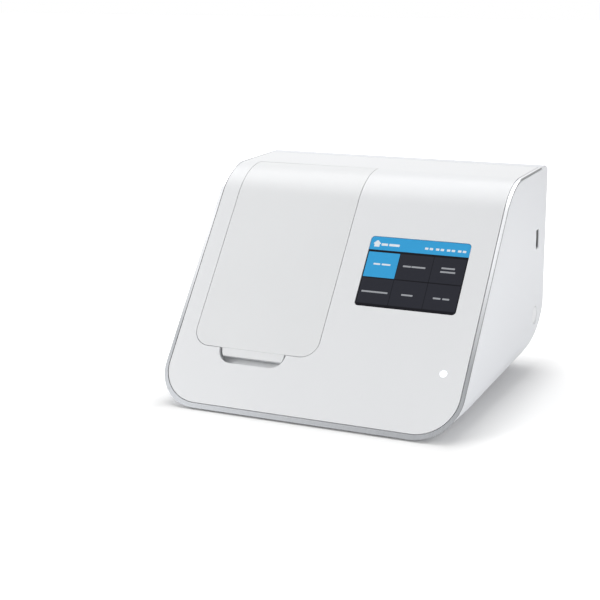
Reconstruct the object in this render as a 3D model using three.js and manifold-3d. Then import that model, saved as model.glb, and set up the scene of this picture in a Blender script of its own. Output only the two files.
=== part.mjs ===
// Molecular point-of-care analyzer: a wedge-shaped bench unit with a hinged lid over two
// heated wells on its left and a touch screen on its right. Millimetres, +Z up, +X to the
// right, +Y to the back, with the origin on the bench below the middle of the unit.
import * as THREE from 'three';
import { mergeVertices } from 'three/addons/utils/BufferGeometryUtils.js';
import Module from 'manifold-3d';

const wasm = await Module();
wasm.setup();

// Overall size and the side profile
const overallWidth = 207;
const overallDepth = 194;
const overallHeight = 145;
const footStandoff = 1.2;
const slopeDegrees = 52.5;
const topRiseDegrees = 1.2;
const shoulderRadius = 44;
const rearTopRadius = 10;
const rearBottomRadius = 26;
const rearCornerRadius = 4;
const lowerCornerWidth = 29;
const rearCornerGrowth = 10;
const growthStart = 40;
const edgeRadius = 1;

// Clearances and the overrun of cuts
const seatGap = 0.3;
const seamGap = 0.4;
const runningGap = 0.15;
const overrun = 1;
const cutReach = 400;

// Housing, base plate and feet
const housingWall = 2.5;
const frontLandDepth = 1.2;
const splitSetback = 19.5;
const splitTongue = 8;
const baseSetIn = 31.5;
const baseFrontSetback = 22;
const baseRearSetback = 36;
const baseWidth = overallWidth - 2 * baseSetIn;
const baseLength = overallDepth - baseFrontSetback - baseRearSetback;
const baseCentreY = (baseFrontSetback - baseRearSetback) / 2;
const baseThickness = 2;
const baseRadius = 8;
const baseLedge = 5;
const baseRimHeight = 5;
const footRadius = 7;
const footRecess = 0.8;
const footInset = 13;
const screwRadius = 1.5;
const screwHeadRadius = 2.8;
const screwHeadHeight = 1.2;
const screwLength = 4;
const screwInset = 5.2;
const screwDriveRadius = 1.3;
const screwDriveDepth = 0.6;
const screwDriveSides = 6;
const postRadius = 4;
const postInsetX = 20;
const postInsetY = 24;
const ventCount = 11;
const ventWidth = 2.2;
const ventPitch = 5;
const ventHeight = 22;
const ventCentreX = -44;
const ventBottomZ = 46;
const ventRoundShare = 0.49;

// Front fascia and trim band
const fasciaWall = 2.6;
const fasciaReveal = 2.7;
const fasciaHalfWidth = overallWidth / 2 - fasciaReveal;
const fasciaFootSpan = 3.8;
const fasciaCornerRadius = 26;
const skirtDepth = 8;
const skirtWall = 1.8;

// Where the screen, the lid and the status light sit across the fascia
const screenWidth = 68.4;
const screenMargin = 15.4;
const screenCentreX = fasciaHalfWidth - screenMargin - screenWidth / 2;
const lidMargin = 11.9;
const lidToScreen = 15.9;
const lidWidth = 2 * fasciaHalfWidth - screenMargin - screenWidth - lidToScreen - lidMargin;
const lidCentreX = lidMargin + lidWidth / 2 - fasciaHalfWidth;
const lightMargin = 14.2;
const lightX = fasciaHalfWidth - lightMargin;

// Lid, its opening and its hinge; spans run up the slope from its foot
const lidFootSpan = 43.6;
const lidCornerRadius = 12;
const hingeSetback = 5.17;
const hingePinRadius = 1.2;
const hingePinReach = 10;
const hingeGroove = 0.95;
const ledgeWidth = 4.5;
const ledgeBack = 2;
const ledgeThickness = 1.7;
const linerInset = 6.5;
const linerWall = 1.6;
const linerRibDepth = 3;
const linerRibWidth = 1.4;
const linerRibSideGap = 16.5;
const linerRibPitch = lidWidth / 2 - linerInset - linerRibSideGap;
const linerRibEnd = 22;
const linerRibCount = 3;
const lidMagnetRadius = 2.5;
const lidMagnetFromShoulder = 54.1;
const lidMagnetInsetX = 4;
const bracketWidth = 4;
const bracketFlange = 9;
const bracketFlangeThickness = 2;
const bracketRadius = 4.6;
const bracketFoot = 6.3;

// Finger scoop below the lid, and the lid's pull lip
const scoopHalfWidth = 24;
const scoopFootSpan = 33.6;
const scoopTopSpan = 47;
const scoopCornerRadius = 10;
const scoopDepth = 8;
const scoopWall = 1.6;
const lipDrop = 4.6;
const lipSet = 1.9;
const lipThickness = 2.4;
const lipSideGap = 1.5;

// Well deck, holders and heater blocks
const deckFloorZ = 42;
const deckWall = 2;
const deckFlange = 2;
const deckBackGap = 0.5;
const deckPostRadius = 3.5;
const deckPostInset = 4;
const wellSetback = 47;
const wellPitchSlack = 0.5;
const wellPitch = lidWidth / 2 - ledgeWidth - wellPitchSlack;
const testWellGap = 9;
const testWellWidth = wellPitch - testWellGap;
const testWellLength = 23;
const sampleWellGap = 7;
const sampleWellWidth = wellPitch - sampleWellGap;
const sampleWellLength = 25;
const wellRadius = 4;
const holderWall = 1.8;
const holderFlange = 3;
const holderFlangeHeight = 2.2;
const holderDepth = 10;
const notchWidth = 9;
const notchDepth = 1.4;
const heaterMargin = 3;
const heaterTubeRadius = 4;
const heaterTubeSetIn = 8;
const heaterTubePitch = testWellWidth - 2 * heaterTubeSetIn;
const heaterTubeDepth = 14;
const heaterTubeFootShare = 0.7;
const sampleBoreSetIn = 7;
const sampleBoreRadius = sampleWellWidth / 2 - sampleBoreSetIn;
const sampleBoreDepth = 15;
const sampleBoreFootShare = 0.6;
const boreLead = 1;
const opticsWidth = 30;
const opticsLength = 16;
const opticsHeight = 15;
const opticsHoleRadius = 3.2;
const lensRadius = 2.9;
const lensLength = 3.6;
const lensSet = 0.6;
const sensorLength = 9;
const sensorHeight = 5;
const sensorWidth = 2.4;
const sensorInset = 9;

// Screen assembly on the slope
const screenLength = 50.2;
const screenFromShoulder = 49.4;
const screenRadius = 2.6;
const glassThickness = 2;
const glassSet = 0.2;
const gasketLap = 2.4;
const gasketThickness = 0.8;
const panelThickness = 4.2;
const panelMargin = 1.8;
const bracketSheet = 1.2;
const bracketEar = 9;
const bracketEarLength = 12;
const ribbonSlotWidth = 18;
const ribbonSlotLength = 6;
const screenBossRadius = 2.8;
const screenBossSpread = 17;

// Status light on the slope
const lightSpan = 44.7;
const lightRadius = 2.5;
const lightGap = 0.2;
const lightSet = 0.15;
const lightFlange = 1.3;
const lightFlangeRadius = 3.8;
const lightPipeDepth = 6;
const lightBoardWidth = 20;
const lightBoardLength = 10;
const lightBossRadius = 2;
const lightBossPitch = 13;

// Chassis and circuit boards
const chassisSheet = 1.5;
const chassisSetIn = 21.5;
const chassisHalfWidth = overallWidth / 2 - chassisSetIn;
const chassisFrontSetback = 33;
const chassisRearSetback = 29;
const chassisLength = overallDepth - chassisFrontSetback - chassisRearSetback;
const chassisLift = 4.5;
const chassisHoleRadius = 6;
const chassisHolePitch = 34;
const standoffHeight = 1.4;
const standoffRadius = 2.6;
const boardThickness = 1.6;
const boardStandoff = 5;
const mainBoardWidth = 76;
const mainBoardEdge = 2;
const mainBoardEndGap = 10;
const mainBoardLength = chassisLength - 2 * mainBoardEndGap;
const mainBoardCentreX = chassisHalfWidth - mainBoardEdge - mainBoardWidth / 2;
const mainBoardForward = 4;
const heaterBoardSetIn = 6;
const heaterBoardWidth = lidWidth - 2 * heaterBoardSetIn;
const heaterBoardLength = 54;
const heaterBoardBehindWells = 4;
const boardPostInset = 4;
const shieldWidth = 34;
const shieldHeight = 4;
const shieldOffset = 12;
const shieldX = mainBoardCentreX - shieldOffset;
const shieldBack = 14;
const speakerRadius = 10;
const speakerHeight = 4.5;
const speakerHoleRadius = 2.5;
const speakerOffset = 18;
const speakerX = mainBoardCentreX + speakerOffset;
const speakerBack = 24;

// Connectors on the rear wall
const ioBoardWidth = 78;
const ioBoardHeight = 34;
const ioBoardCentreX = chassisHalfWidth - ioBoardWidth / 2;
const ioFlangeInset = 8;
const portZ = 50;
const portDepth = 17;
const jackOffset = 29;
const jackX = ioBoardCentreX - jackOffset;
const jackWidth = 10;
const jackHeight = 11;
const jackBoreRadius = 3.2;
const jackBoreDepth = 10;
const jackPinRadius = 1;
const networkOffset = 7;
const networkX = ioBoardCentreX - networkOffset;
const networkWidth = 16;
const networkHeight = 14;
const networkMouthWidth = 11.8;
const networkMouthHeight = 8;
const networkMouthDepth = 12;
const networkKeyWidth = 6;
const networkKeyHeight = 2.2;
const usbPortOffset = 15;
const usbPortX = ioBoardCentreX + usbPortOffset;
const usbPortPitch = 17;
const usbWidth = 13.1;
const usbHeight = 5.8;
const usbShell = 0.4;
const usbDepth = 14;
const usbTongueWidth = 10;
const usbTongueThickness = 1.8;
const usbTongueSet = 1.6;
const usbBackThickness = 2.5;

// Side board with its connector, the power button and its switch
const sideSetback = 24;
const sidePortZ = 96;
const buttonZ = 42;
const sideBoardSetback = 18;
const sideBoardWidth = 17;
const sideBoardMargin = 8;
const sidePostRadius = 2.6;
const sidePostZ = 69;
const sidePostSpread = 13;
const sidePostOffset = 5;
const buttonRadius = 6;
const buttonTravel = 1.2;
const buttonGap = 0.3;
const buttonFlange = 1.6;
const buttonFlangeThickness = 1.4;
const buttonStemRadius = 2.2;
const buttonDish = 0.5;
const switchSize = 6;
const switchHeight = 3.4;
const plungerRadius = 1.6;
const plungerHeight = 1;
const springWire = 0.6;
const springRadius = 5.4;
const springTurns = 4;
const springSteps = 8;
const springSides = 3;

// Curve steps
const arcSteps = 10;
const edgeSteps = 3;
const roundSides = 16;
const rearSteps = 10;
const cornerSegments = 2;
const outlineSegments = 6;

// Materials, one kind of finish to each
function finish(name, colour, roughness, metalness = 0) {
  return new THREE.MeshStandardMaterial({ name, color: colour, roughness, metalness });
}
const whitePlastic = finish('white_plastic', 0xe6e8ea, 0.35);
const shellPlastic = finish('shell_plastic', 0xe4e6e9, 0.4);
const satinBand = finish('satin_band', 0xbbbdc1, 0.35, 0.6);
const greyPlastic = finish('grey_plastic', 0xb9bdc2, 0.5);
const blackGlass = finish('black_glass', 0x16171b, 0.08);
const blackRubber = finish('black_rubber', 0x1c1d1f, 0.85);
const orangePlastic = finish('orange_plastic', 0xe98a3a, 0.4);
const bluePlastic = finish('blue_plastic', 0x6f7fd0, 0.4);
const aluminium = finish('aluminium', 0xc3c6c9, 0.35, 0.9);
const steel = finish('steel', 0xb3b5b8, 0.3, 0.95);
const zincSheet = finish('zinc_sheet', 0xa8abae, 0.45, 0.85);
const circuitGreen = finish('circuit_green', 0x1f5b3a, 0.55);
const darkPlastic = finish('dark_plastic', 0x202226, 0.5);
const clearPlastic = finish('clear_plastic', 0xf4f7fa, 0.15);
const lensGlass = finish('lens_glass', 0x9fb4bd, 0.05);

// The frame of the side profile, in the Y-Z plane
const slope = THREE.MathUtils.degToRad(slopeDegrees);
const topRise = THREE.MathUtils.degToRad(topRiseDegrees);
const slopeAlong = new THREE.Vector2(Math.cos(slope), Math.sin(slope));
const slopeOut = new THREE.Vector2(-Math.sin(slope), Math.cos(slope));
const topAlong = new THREE.Vector2(Math.cos(topRise), Math.sin(topRise));
const topOut = new THREE.Vector2(-Math.sin(topRise), Math.cos(topRise));
const rearY = overallDepth / 2;
const frontY = -overallDepth / 2;
const slopeFoot = new THREE.Vector2(frontY, footStandoff);
const topEnd = new THREE.Vector2(rearY - rearTopRadius, overallHeight - rearTopRadius);
topEnd.addScaledVector(topOut, rearTopRadius);
const shoulderCentre = meeting(
  slopeFoot.clone().addScaledVector(slopeOut, -shoulderRadius), slopeAlong,
  topEnd.clone().addScaledVector(topOut, -shoulderRadius), topAlong,
);
const splitY = rearY - splitSetback;
const sideY = rearY - sideSetback;
const slopeLength = shoulderCentre.clone().sub(slopeFoot).dot(slopeAlong);
const screenCentreSpan = slopeLength - screenFromShoulder;
const lidMagnetSpan = slopeLength - lidMagnetFromShoulder;
const hingeY = shoulderCentre.x - hingeSetback;
const wellY = hingeY - wellSetback;
const chassisFrontY = frontY + chassisFrontSetback;
const chassisRearY = rearY - chassisRearSetback;
const mainBoardCentreY = (chassisFrontY + chassisRearY) / 2 - mainBoardForward;
const shieldY = mainBoardCentreY + shieldBack;
const speakerY = mainBoardCentreY - mainBoardLength / 2 + speakerBack;
const heaterBoardY = wellY + heaterBoardBehindWells;
const slopeMatrix = new THREE.Matrix4().makeRotationX(slope).setPosition(0, slopeFoot.x, slopeFoot.y);

function meeting(pointA, alongA, pointB, alongB) {
  const between = pointB.clone().sub(pointA);
  return pointA.clone().addScaledVector(alongA, between.cross(alongB) / alongA.cross(alongB));
}

function slopePoint(span, inset) {
  return slopeFoot.clone().addScaledVector(slopeAlong, span).addScaledVector(slopeOut, -inset);
}

function topPoint(y, inset) {
  const start = topEnd.clone().addScaledVector(topOut, -inset);
  return start.addScaledVector(topAlong, (y - start.x) / topAlong.x);
}

// A place on the shoulder or the top, at a given Y
function skinPoint(y, inset) {
  const reach = shoulderRadius - inset;
  const along = y - shoulderCentre.x;
  if (along >= reach * topOut.x) return topPoint(y, inset);
  return new THREE.Vector2(y, shoulderCentre.y + Math.sqrt(reach * reach - along * along));
}

// The front and top line of the unit, drawn inwards by inset, from a span on the slope to the
// rear.
function frontLine(inset, span) {
  const points = [slopePoint(span, inset)];
  const from = slopeOut.angle();
  const to = topOut.angle();
  for (let step = 0; step <= arcSteps; step += 1) {
    const angle = from + (to - from) * step / arcSteps;
    const reach = shoulderRadius - inset;
    const spoke = new THREE.Vector2(Math.cos(angle), Math.sin(angle)).multiplyScalar(reach);
    points.push(spoke.add(shoulderCentre));
  }
  points.push(topPoint(rearY, inset));
  return points;
}

// Solids: geometry in, joined or cut, and back to geometry
function solid(geometry, matrix) {
  const plain = geometry.clone();
  plain.deleteAttribute('normal');
  plain.deleteAttribute('uv');
  if (matrix) plain.applyMatrix4(matrix);
  const merged = mergeVertices(plain);
  return new wasm.Manifold(new wasm.Mesh({
    numProp: 3,
    vertProperties: new Float32Array(merged.attributes.position.array),
    triVerts: new Uint32Array(merged.index.array),
  }));
}

function joined(first, ...rest) {
  return rest.reduce((sum, one) => sum.add(one), first);
}

function cutBy(first, ...rest) {
  return rest.reduce((left, one) => left.subtract(one), first);
}

function geometryOf(manifold) {
  const mesh = manifold.getMesh();
  const geometry = new THREE.BufferGeometry();
  geometry.setAttribute('position', new THREE.BufferAttribute(new Float32Array(mesh.vertProperties), 3));
  geometry.setIndex(new THREE.BufferAttribute(new Uint32Array(mesh.triVerts), 1));
  geometry.computeVertexNormals();
  return geometry;
}

const alongX = new THREE.Matrix4().makeBasis(
  new THREE.Vector3(0, 1, 0), new THREE.Vector3(0, 0, 1), new THREE.Vector3(1, 0, 0),
);

function prism(shape, depth, matrix, curveSegments = cornerSegments) {
  const options = { depth, bevelEnabled: false, curveSegments };
  return solid(new THREE.ExtrudeGeometry(shape, options), matrix);
}

// A Y-Z outline run along X
function acrossPrism(points, fromX, toX) {
  const matrix = new THREE.Matrix4().makeTranslation(fromX, 0, 0).multiply(alongX);
  return prism(new THREE.Shape(points), toX - fromX, matrix);
}

// An outline of X and span run along the slope's normal, from a low to a high place on it
function slopePrism(shape, fromOut, toOut) {
  const matrix = slopeMatrix.clone().multiply(new THREE.Matrix4().makeTranslation(0, 0, fromOut));
  return prism(shape, toOut - fromOut, matrix, outlineSegments);
}

function upPrism(shape, fromZ, toZ) {
  return prism(shape, toZ - fromZ, new THREE.Matrix4().makeTranslation(0, 0, fromZ));
}

function block(x0, x1, y0, y1, z0, z1) {
  const box = new THREE.BoxGeometry(x1 - x0, y1 - y0, z1 - z0);
  return solid(box, new THREE.Matrix4().makeTranslation((x0 + x1) / 2, (y0 + y1) / 2, (z0 + z1) / 2));
}

// A round bar along one axis, from one end to the other, that may taper
function rod(axis, x, y, z, from, to, radius, endRadius = radius, sides = roundSides) {
  const bar = new THREE.CylinderGeometry(endRadius, radius, to - from, sides);
  const middle = (from + to) / 2;
  const matrix = new THREE.Matrix4();
  if (axis === 'x') matrix.makeRotationZ(-Math.PI / 2).setPosition(middle, y, z);
  if (axis === 'y') matrix.setPosition(x, middle, z);
  if (axis === 'z') matrix.makeRotationX(Math.PI / 2).setPosition(x, y, middle);
  return solid(bar, matrix);
}

function roundedRect(centreX, centreY, width, length, radius) {
  const shape = new THREE.Shape();
  const right = centreX + width / 2 - radius;
  const left = centreX - width / 2 + radius;
  const top = centreY + length / 2 - radius;
  const bottom = centreY - length / 2 + radius;
  shape.absarc(right, top, radius, 0, Math.PI / 2);
  shape.absarc(left, top, radius, Math.PI / 2, Math.PI);
  shape.absarc(left, bottom, radius, Math.PI, Math.PI * 1.5);
  shape.absarc(right, bottom, radius, Math.PI * 1.5, Math.PI * 2);
  return shape;
}

// A U in X and span: open upwards, with two rounded corners at its foot
function footedOutline(centreX, halfWidth, footSpan, topSpan, radius) {
  const shape = new THREE.Shape();
  shape.moveTo(centreX + halfWidth, topSpan);
  shape.lineTo(centreX - halfWidth, topSpan);
  shape.absarc(centreX - halfWidth + radius, footSpan + radius, radius, Math.PI, Math.PI * 1.5);
  shape.absarc(centreX + halfWidth - radius, footSpan + radius, radius, Math.PI * 1.5, Math.PI * 2);
  return shape;
}

// A band of the front and top line between two insets
function frontStrip(outer, inner, span, y, halfWidth = overallWidth, centreX = 0) {
  const points = [...frontLine(outer, span), ...frontLine(inner, span).reverse()];
  return acrossPrism(points, centreX - halfWidth, centreX + halfWidth).intersect(beforeY(y));
}

// The outer form, drawn in by inset: rounded sections along Y that close in at the rear, so
// that side, floor, top and rear flow into one another
function bodyForm(inset) {
  const vertices = [];
  const indices = [];
  const stations = [frontY - overrun, frontY + growthStart];
  const bottomReach = rearBottomRadius - inset;
  const startY = rearY - rearBottomRadius;
  for (let step = 0; step <= rearSteps; step += 1) {
    stations.push(startY + bottomReach * Math.sin(Math.PI / 2 * step / rearSteps));
  }
  const fall = (y, radius) => {
    const past = Math.max(0, y - (rearY - radius));
    const reach = radius - inset;
    return reach - Math.sqrt(Math.max(0, reach * reach - past * past));
  };
  for (const y of stations) {
    const grown = THREE.MathUtils.clamp((y - frontY - growthStart) / (startY - frontY - growthStart), 0, 1);
    const halfWidth = overallWidth / 2 - inset - fall(y, rearCornerRadius);
    const bottom = footStandoff + inset + fall(y, rearBottomRadius);
    const rise = topEnd.y + (y - topEnd.x) * Math.tan(topRise) - inset / Math.cos(topRise);
    const top = Math.min(rise, overallHeight - inset - fall(y, rearTopRadius));
    const cornerX = lowerCornerWidth + rearCornerGrowth * grown - inset;
    const cornerZ = lowerCornerWidth * Math.sin(slope) + rearCornerGrowth * grown - inset;
    const corners = [
      [halfWidth - cornerX, bottom + cornerZ, cornerX, cornerZ, -Math.PI / 2, arcSteps],
      [halfWidth - edgeRadius, top - edgeRadius, edgeRadius, edgeRadius, 0, edgeSteps],
      [edgeRadius - halfWidth, top - edgeRadius, edgeRadius, edgeRadius, Math.PI / 2, edgeSteps],
      [cornerX - halfWidth, bottom + cornerZ, cornerX, cornerZ, Math.PI, arcSteps],
    ];
    for (const [centreX, centreZ, reachX, reachZ, from, steps] of corners) {
      for (let step = 0; step <= steps; step += 1) {
        const angle = from + Math.PI / 2 * step / steps;
        vertices.push(centreX + reachX * Math.cos(angle), y, centreZ + reachZ * Math.sin(angle));
      }
    }
  }
  const ring = vertices.length / stations.length / 3;
  for (let row = 0; row < stations.length - 1; row += 1) {
    for (let column = 0; column < ring; column += 1) {
      const a = row * ring + column;
      const b = row * ring + (column + 1) % ring;
      indices.push(a, a + ring, b + ring, a, b + ring, b);
    }
  }
  const last = (stations.length - 1) * ring;
  for (let column = 1; column < ring - 1; column += 1) {
    indices.push(0, column, column + 1);
    indices.push(last, last + column + 1, last + column);
  }
  const geometry = new THREE.BufferGeometry();
  geometry.setAttribute('position', new THREE.Float32BufferAttribute(vertices, 3));
  geometry.setIndex(indices);
  return solid(geometry);
}

const outerForm = bodyForm(0);
const innerForm = bodyForm(housingWall);
const seatForm = bodyForm(housingWall + seatGap);

// Heights of the stack inside, from the floor up
const baseTopZ = footStandoff + baseThickness;
const chassisZ = baseTopZ + chassisLift + seatGap;
const chassisTopZ = chassisZ + chassisSheet;
const heaterBoardZ = chassisTopZ + standoffHeight + seatGap;
const heaterBlockZ = heaterBoardZ + boardThickness + seatGap;
const holderFootZ = deckFloorZ - holderDepth;
const heaterTopZ = holderFootZ - seatGap;
const mainBoardZ = chassisTopZ + boardStandoff + seatGap;

// The hinge line lies just under the skin, so that its pins clear the fascia
const hingeDepth = fasciaWall + seatGap + hingePinRadius;
const hinge = skinPoint(hingeY, hingeDepth);
const barrelRadius = hingeDepth;
const openingRearY = hingeY + barrelRadius + hingeGroove;
const troughRadius = barrelRadius + deckBackGap;
const lidHalfWidth = lidWidth / 2;
const ledgeEndY = hingeY - troughRadius - deckWall - seatGap;

const unit = new THREE.Group();
unit.name = 'analyzer';
const lidGroup = new THREE.Group();
const buttonGroup = new THREE.Group();
const slopeGroup = new THREE.Group();
slopeGroup.rotation.x = slope;
slopeGroup.position.set(0, slopeFoot.x, slopeFoot.y);
unit.add(lidGroup, buttonGroup, slopeGroup);

function addPiece(name, shape, material, group = unit) {
  const mesh = new THREE.Mesh(geometryOf(shape), material.clone());
  mesh.name = name;
  group.add(mesh);
  return mesh;
}

// Limits a solid to what lies in front of a place on Y
function beforeY(y) {
  return block(-overallWidth, overallWidth, frontY - cutReach, y, -overallHeight, 2 * overallHeight);
}

function lidOutline(inset, topSpan = cutReach) {
  const radius = lidCornerRadius - inset;
  return footedOutline(lidCentreX, lidHalfWidth - inset, lidFootSpan + inset, topSpan, radius);
}

function lidPrism(inset) {
  return slopePrism(lidOutline(inset), -cutReach / 2, cutReach / 2);
}

function fasciaPrism(inset) {
  const outline = footedOutline(
    0, fasciaHalfWidth - inset, fasciaFootSpan + inset, cutReach, fasciaCornerRadius - inset,
  );
  return slopePrism(outline, -cutReach / 2, cutReach / 2);
}

const sidePostPlaces = [
  [sideY + sidePostOffset, sidePostZ + sidePostSpread / 2],
  [sideY - sidePostOffset, sidePostZ - sidePostSpread / 2],
];
const sideBoardX = overallWidth / 2 - sideBoardSetback;
const sideBoardFaceX = sideBoardX + boardThickness;
const sideWallX = overallWidth / 2 - housingWall;
const portBackY = rearY - portDepth;
const baseScrewPlaces = cornerPlaces(0, baseCentreY, baseWidth / 2 - screwInset, baseLength / 2 - screwInset);
const footPlaces = cornerPlaces(0, baseCentreY, baseWidth / 2 - footInset, baseLength / 2 - footInset);

function cornerPlaces(centreX, centreY, reachX, reachY) {
  return [[-1, -1], [1, -1], [1, 1], [-1, 1]].map(([sideX, sideYWay]) => [
    centreX + sideX * reachX, centreY + sideYWay * reachY,
  ]);
}

// Rear housing: sides, floor and rear in one moulding, open at the front and top
function rearHousing() {
  const openFront = frontStrip(-cutReach / 2, frontLandDepth + seatGap, -cutReach / 2, splitY + seamGap);
  const tongueInset = fasciaWall + seatGap;
  const fasciaRebate = frontStrip(-overrun, tongueInset, -overrun, splitY + seamGap)
    .intersect(fasciaPrism(-seamGap));
  let shell = cutBy(outerForm, innerForm, openFront, fasciaRebate);
  const tongueHalf = fasciaHalfWidth - skirtWall - seamGap;
  const tongue = frontStrip(tongueInset, tongueInset + housingWall, 0, splitY + splitTongue, tongueHalf)
    .subtract(beforeY(splitY - splitTongue));
  const tongueRoot = frontStrip(housingWall / 2, tongueInset + overrun, 0, splitY + splitTongue, tongueHalf)
    .subtract(beforeY(splitY + seamGap));
  const rim = upPrism(baseRect(baseLedge), footStandoff, footStandoff + baseRimHeight).intersect(outerForm);
  shell = joined(shell, tongue.intersect(outerForm), tongueRoot, rim);
  for (const [y, z] of sidePostPlaces) {
    shell = shell.add(rod('x', 0, y, z, sideBoardFaceX + seatGap, sideWallX + overrun, sidePostRadius));
  }
  const rimTopZ = footStandoff + baseRimHeight + overrun;
  const recess = upPrism(baseRect(seatGap), footStandoff - overrun, baseTopZ + seatGap);
  const hole = upPrism(baseRect(-baseLedge, baseRadius), footStandoff - overrun, rimTopZ);
  shell = cutBy(shell, recess, hole);
  for (const [x, y] of baseScrewPlaces) {
    shell = shell.subtract(rod('z', x, y, 0, footStandoff, rimTopZ, screwRadius + runningGap));
  }
  for (let index = 0; index < ventCount; index += 1) {
    const x = ventCentreX + (index - (ventCount - 1) / 2) * ventPitch;
    const middleZ = ventBottomZ + ventHeight / 2;
    const slot = roundedRect(x, middleZ, ventWidth, ventHeight, ventWidth * ventRoundShare);
    shell = shell.subtract(rearPrism(slot, rearY - 2 * housingWall, rearY + overrun));
  }
  for (const cutout of rearCutouts()) shell = shell.subtract(cutout);
  shell = shell.subtract(block(
    sideWallX - overrun, overallWidth / 2 + overrun,
    sideY - usbHeight / 2 - seatGap, sideY + usbHeight / 2 + seatGap,
    sidePortZ - usbWidth / 2 - seatGap, sidePortZ + usbWidth / 2 + seatGap,
  ));
  shell = shell.subtract(rod(
    'x', 0, sideY, buttonZ, sideWallX - overrun, overallWidth / 2 + overrun, buttonRadius + buttonGap,
  ));
  addPiece('rear_housing', shell, shellPlastic);
}

// An outline of X and Z run along Y
function rearPrism(shape, fromY, toY) {
  const flip = new THREE.Matrix4().makeBasis(
    new THREE.Vector3(1, 0, 0), new THREE.Vector3(0, 0, 1), new THREE.Vector3(0, -1, 0),
  );
  return prism(shape, toY - fromY, new THREE.Matrix4().makeTranslation(0, toY, 0).multiply(flip));
}

function rearCutouts() {
  const sizes = [
    [jackX, jackWidth, jackHeight],
    [networkX, networkWidth, networkHeight],
    [usbPortX, usbWidth, usbHeight],
    [usbPortX + usbPortPitch, usbWidth, usbHeight],
  ];
  return sizes.map(([x, width, height]) => block(
    x - width / 2 - seatGap, x + width / 2 + seatGap, rearY - 2 * housingWall, rearY + overrun,
    portZ - height / 2 - seatGap, portZ + height / 2 + seatGap,
  ));
}

// The base plate's outline, grown all round
function baseRect(grow, radius = baseRadius + grow) {
  return roundedRect(0, baseCentreY, baseWidth + 2 * grow, baseLength + 2 * grow, radius);
}

function basePlate() {
  let plate = upPrism(baseRect(0), footStandoff, baseTopZ);
  const posts = cornerPlaces(0, baseCentreY, baseWidth / 2 - postInsetX, baseLength / 2 - postInsetY);
  for (const [x, y] of posts) {
    plate = plate.add(rod('z', x, y, 0, footStandoff, chassisZ - seatGap, postRadius));
  }
  for (const [x, y] of footPlaces) {
    plate = plate.subtract(rod('z', x, y, 0, 0, footStandoff + footRecess + seatGap, footRadius + seatGap));
  }
  for (const [x, y] of baseScrewPlaces) {
    plate = cutBy(
      plate,
      rod('z', x, y, 0, 0, baseTopZ + overrun, screwRadius + runningGap),
      rod('z', x, y, 0, 0, footStandoff + screwHeadHeight + runningGap, screwHeadRadius + runningGap),
    );
  }
  addPiece('base_plate', plate, greyPlastic);
}

function feetAndScrews() {
  const names = ['front_left', 'front_right', 'rear_right', 'rear_left'];
  footPlaces.forEach(([x, y], index) => {
    const foot = rod('z', x, y, 0, 0, footStandoff + footRecess, footRadius - footRecess, footRadius);
    addPiece(`foot_${names[index]}`, foot, blackRubber);
  });
  baseScrewPlaces.forEach(([x, y], index) => {
    const head = rod('z', x, y, 0, footStandoff, footStandoff + screwHeadHeight, screwHeadRadius);
    const shank = rod('z', x, y, 0, footStandoff, footStandoff + screwLength, screwRadius);
    const drive = rod(
      'z', x, y, 0, footStandoff - overrun, footStandoff + screwDriveDepth,
      screwDriveRadius, screwDriveRadius, screwDriveSides,
    );
    addPiece(`base_screw_${names[index]}`, cutBy(head.add(shank), drive), steel);
  });
}

// Front fascia: slope, shoulder and top in one skin, with the lid opening and its ledge, the
// finger scoop, the screen window and the light hole
function frontFascia() {
  const skin = frontStrip(0, fasciaWall, 0, splitY).intersect(fasciaPrism(0)).intersect(outerForm);
  const skirt = frontStrip(overrun, skirtDepth, 0, splitY - splitTongue - seamGap)
    .intersect(cutBy(fasciaPrism(seamGap / 2), fasciaPrism(skirtWall)))
    .intersect(seatForm);
  const ledgeInset = fasciaWall + seatGap;
  const ledge = frontStrip(overrun, ledgeInset + ledgeThickness, 0, ledgeEndY)
    .intersect(cutBy(lidPrism(-ledgeBack), lidPrism(ledgeWidth)));
  const scoopOutline = (grow) => footedOutline(
    lidCentreX, scoopHalfWidth + grow, scoopFootSpan - grow, scoopTopSpan + grow, scoopCornerRadius + grow,
  );
  const scoopCup = slopePrism(scoopOutline(scoopWall), -scoopDepth - scoopWall, -overrun);
  let fascia = joined(skin, skirt);
  for (const [x, span] of screenBossPlaces()) {
    fascia = fascia.add(slopeRod(x, span, -screenBossDepth(), -overrun, screenBossRadius));
  }
  for (const side of [-1, 1]) {
    const x = lightX + side * lightBossPitch / 2;
    fascia = fascia.add(slopeRod(x, lightSpan, -lightPipeDepth, -overrun, lightBossRadius));
  }
  const opening = lidPrism(0).intersect(beforeY(openingRearY));
  fascia = joined(cutBy(fascia, opening), ledge, scoopCup);
  const lidRoom = frontStrip(-overrun, ledgeInset, 0, openingRearY).intersect(lidPrism(0));
  const window = slopePrism(
    flatRect(screenWidth, screenLength, screenRadius), -2 * fasciaWall, overrun,
  );
  fascia = cutBy(
    fascia, lidRoom, slopePrism(scoopOutline(0), -scoopDepth, overrun), window,
    slopeRod(lightX, lightSpan, -2 * fasciaWall, overrun, lightRadius),
  );
  addPiece('front_fascia', fascia, whitePlastic);
}

function slopeRod(x, span, fromOut, toOut, radius, endRadius = radius) {
  const bar = new THREE.CylinderGeometry(endRadius, radius, toOut - fromOut, roundSides);
  const stand = new THREE.Matrix4().makeRotationX(Math.PI / 2).setPosition(x, span, (fromOut + toOut) / 2);
  return solid(bar, slopeMatrix.clone().multiply(stand));
}

// Depths of the screen stack, measured in from the slope
const gasketDepth = fasciaWall + seatGap;
const panelDepth = gasketDepth + gasketThickness + seatGap;
const screenBracketDepth = panelDepth + panelThickness + seatGap;

function screenBossDepth() {
  return screenBracketDepth - seatGap;
}

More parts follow.
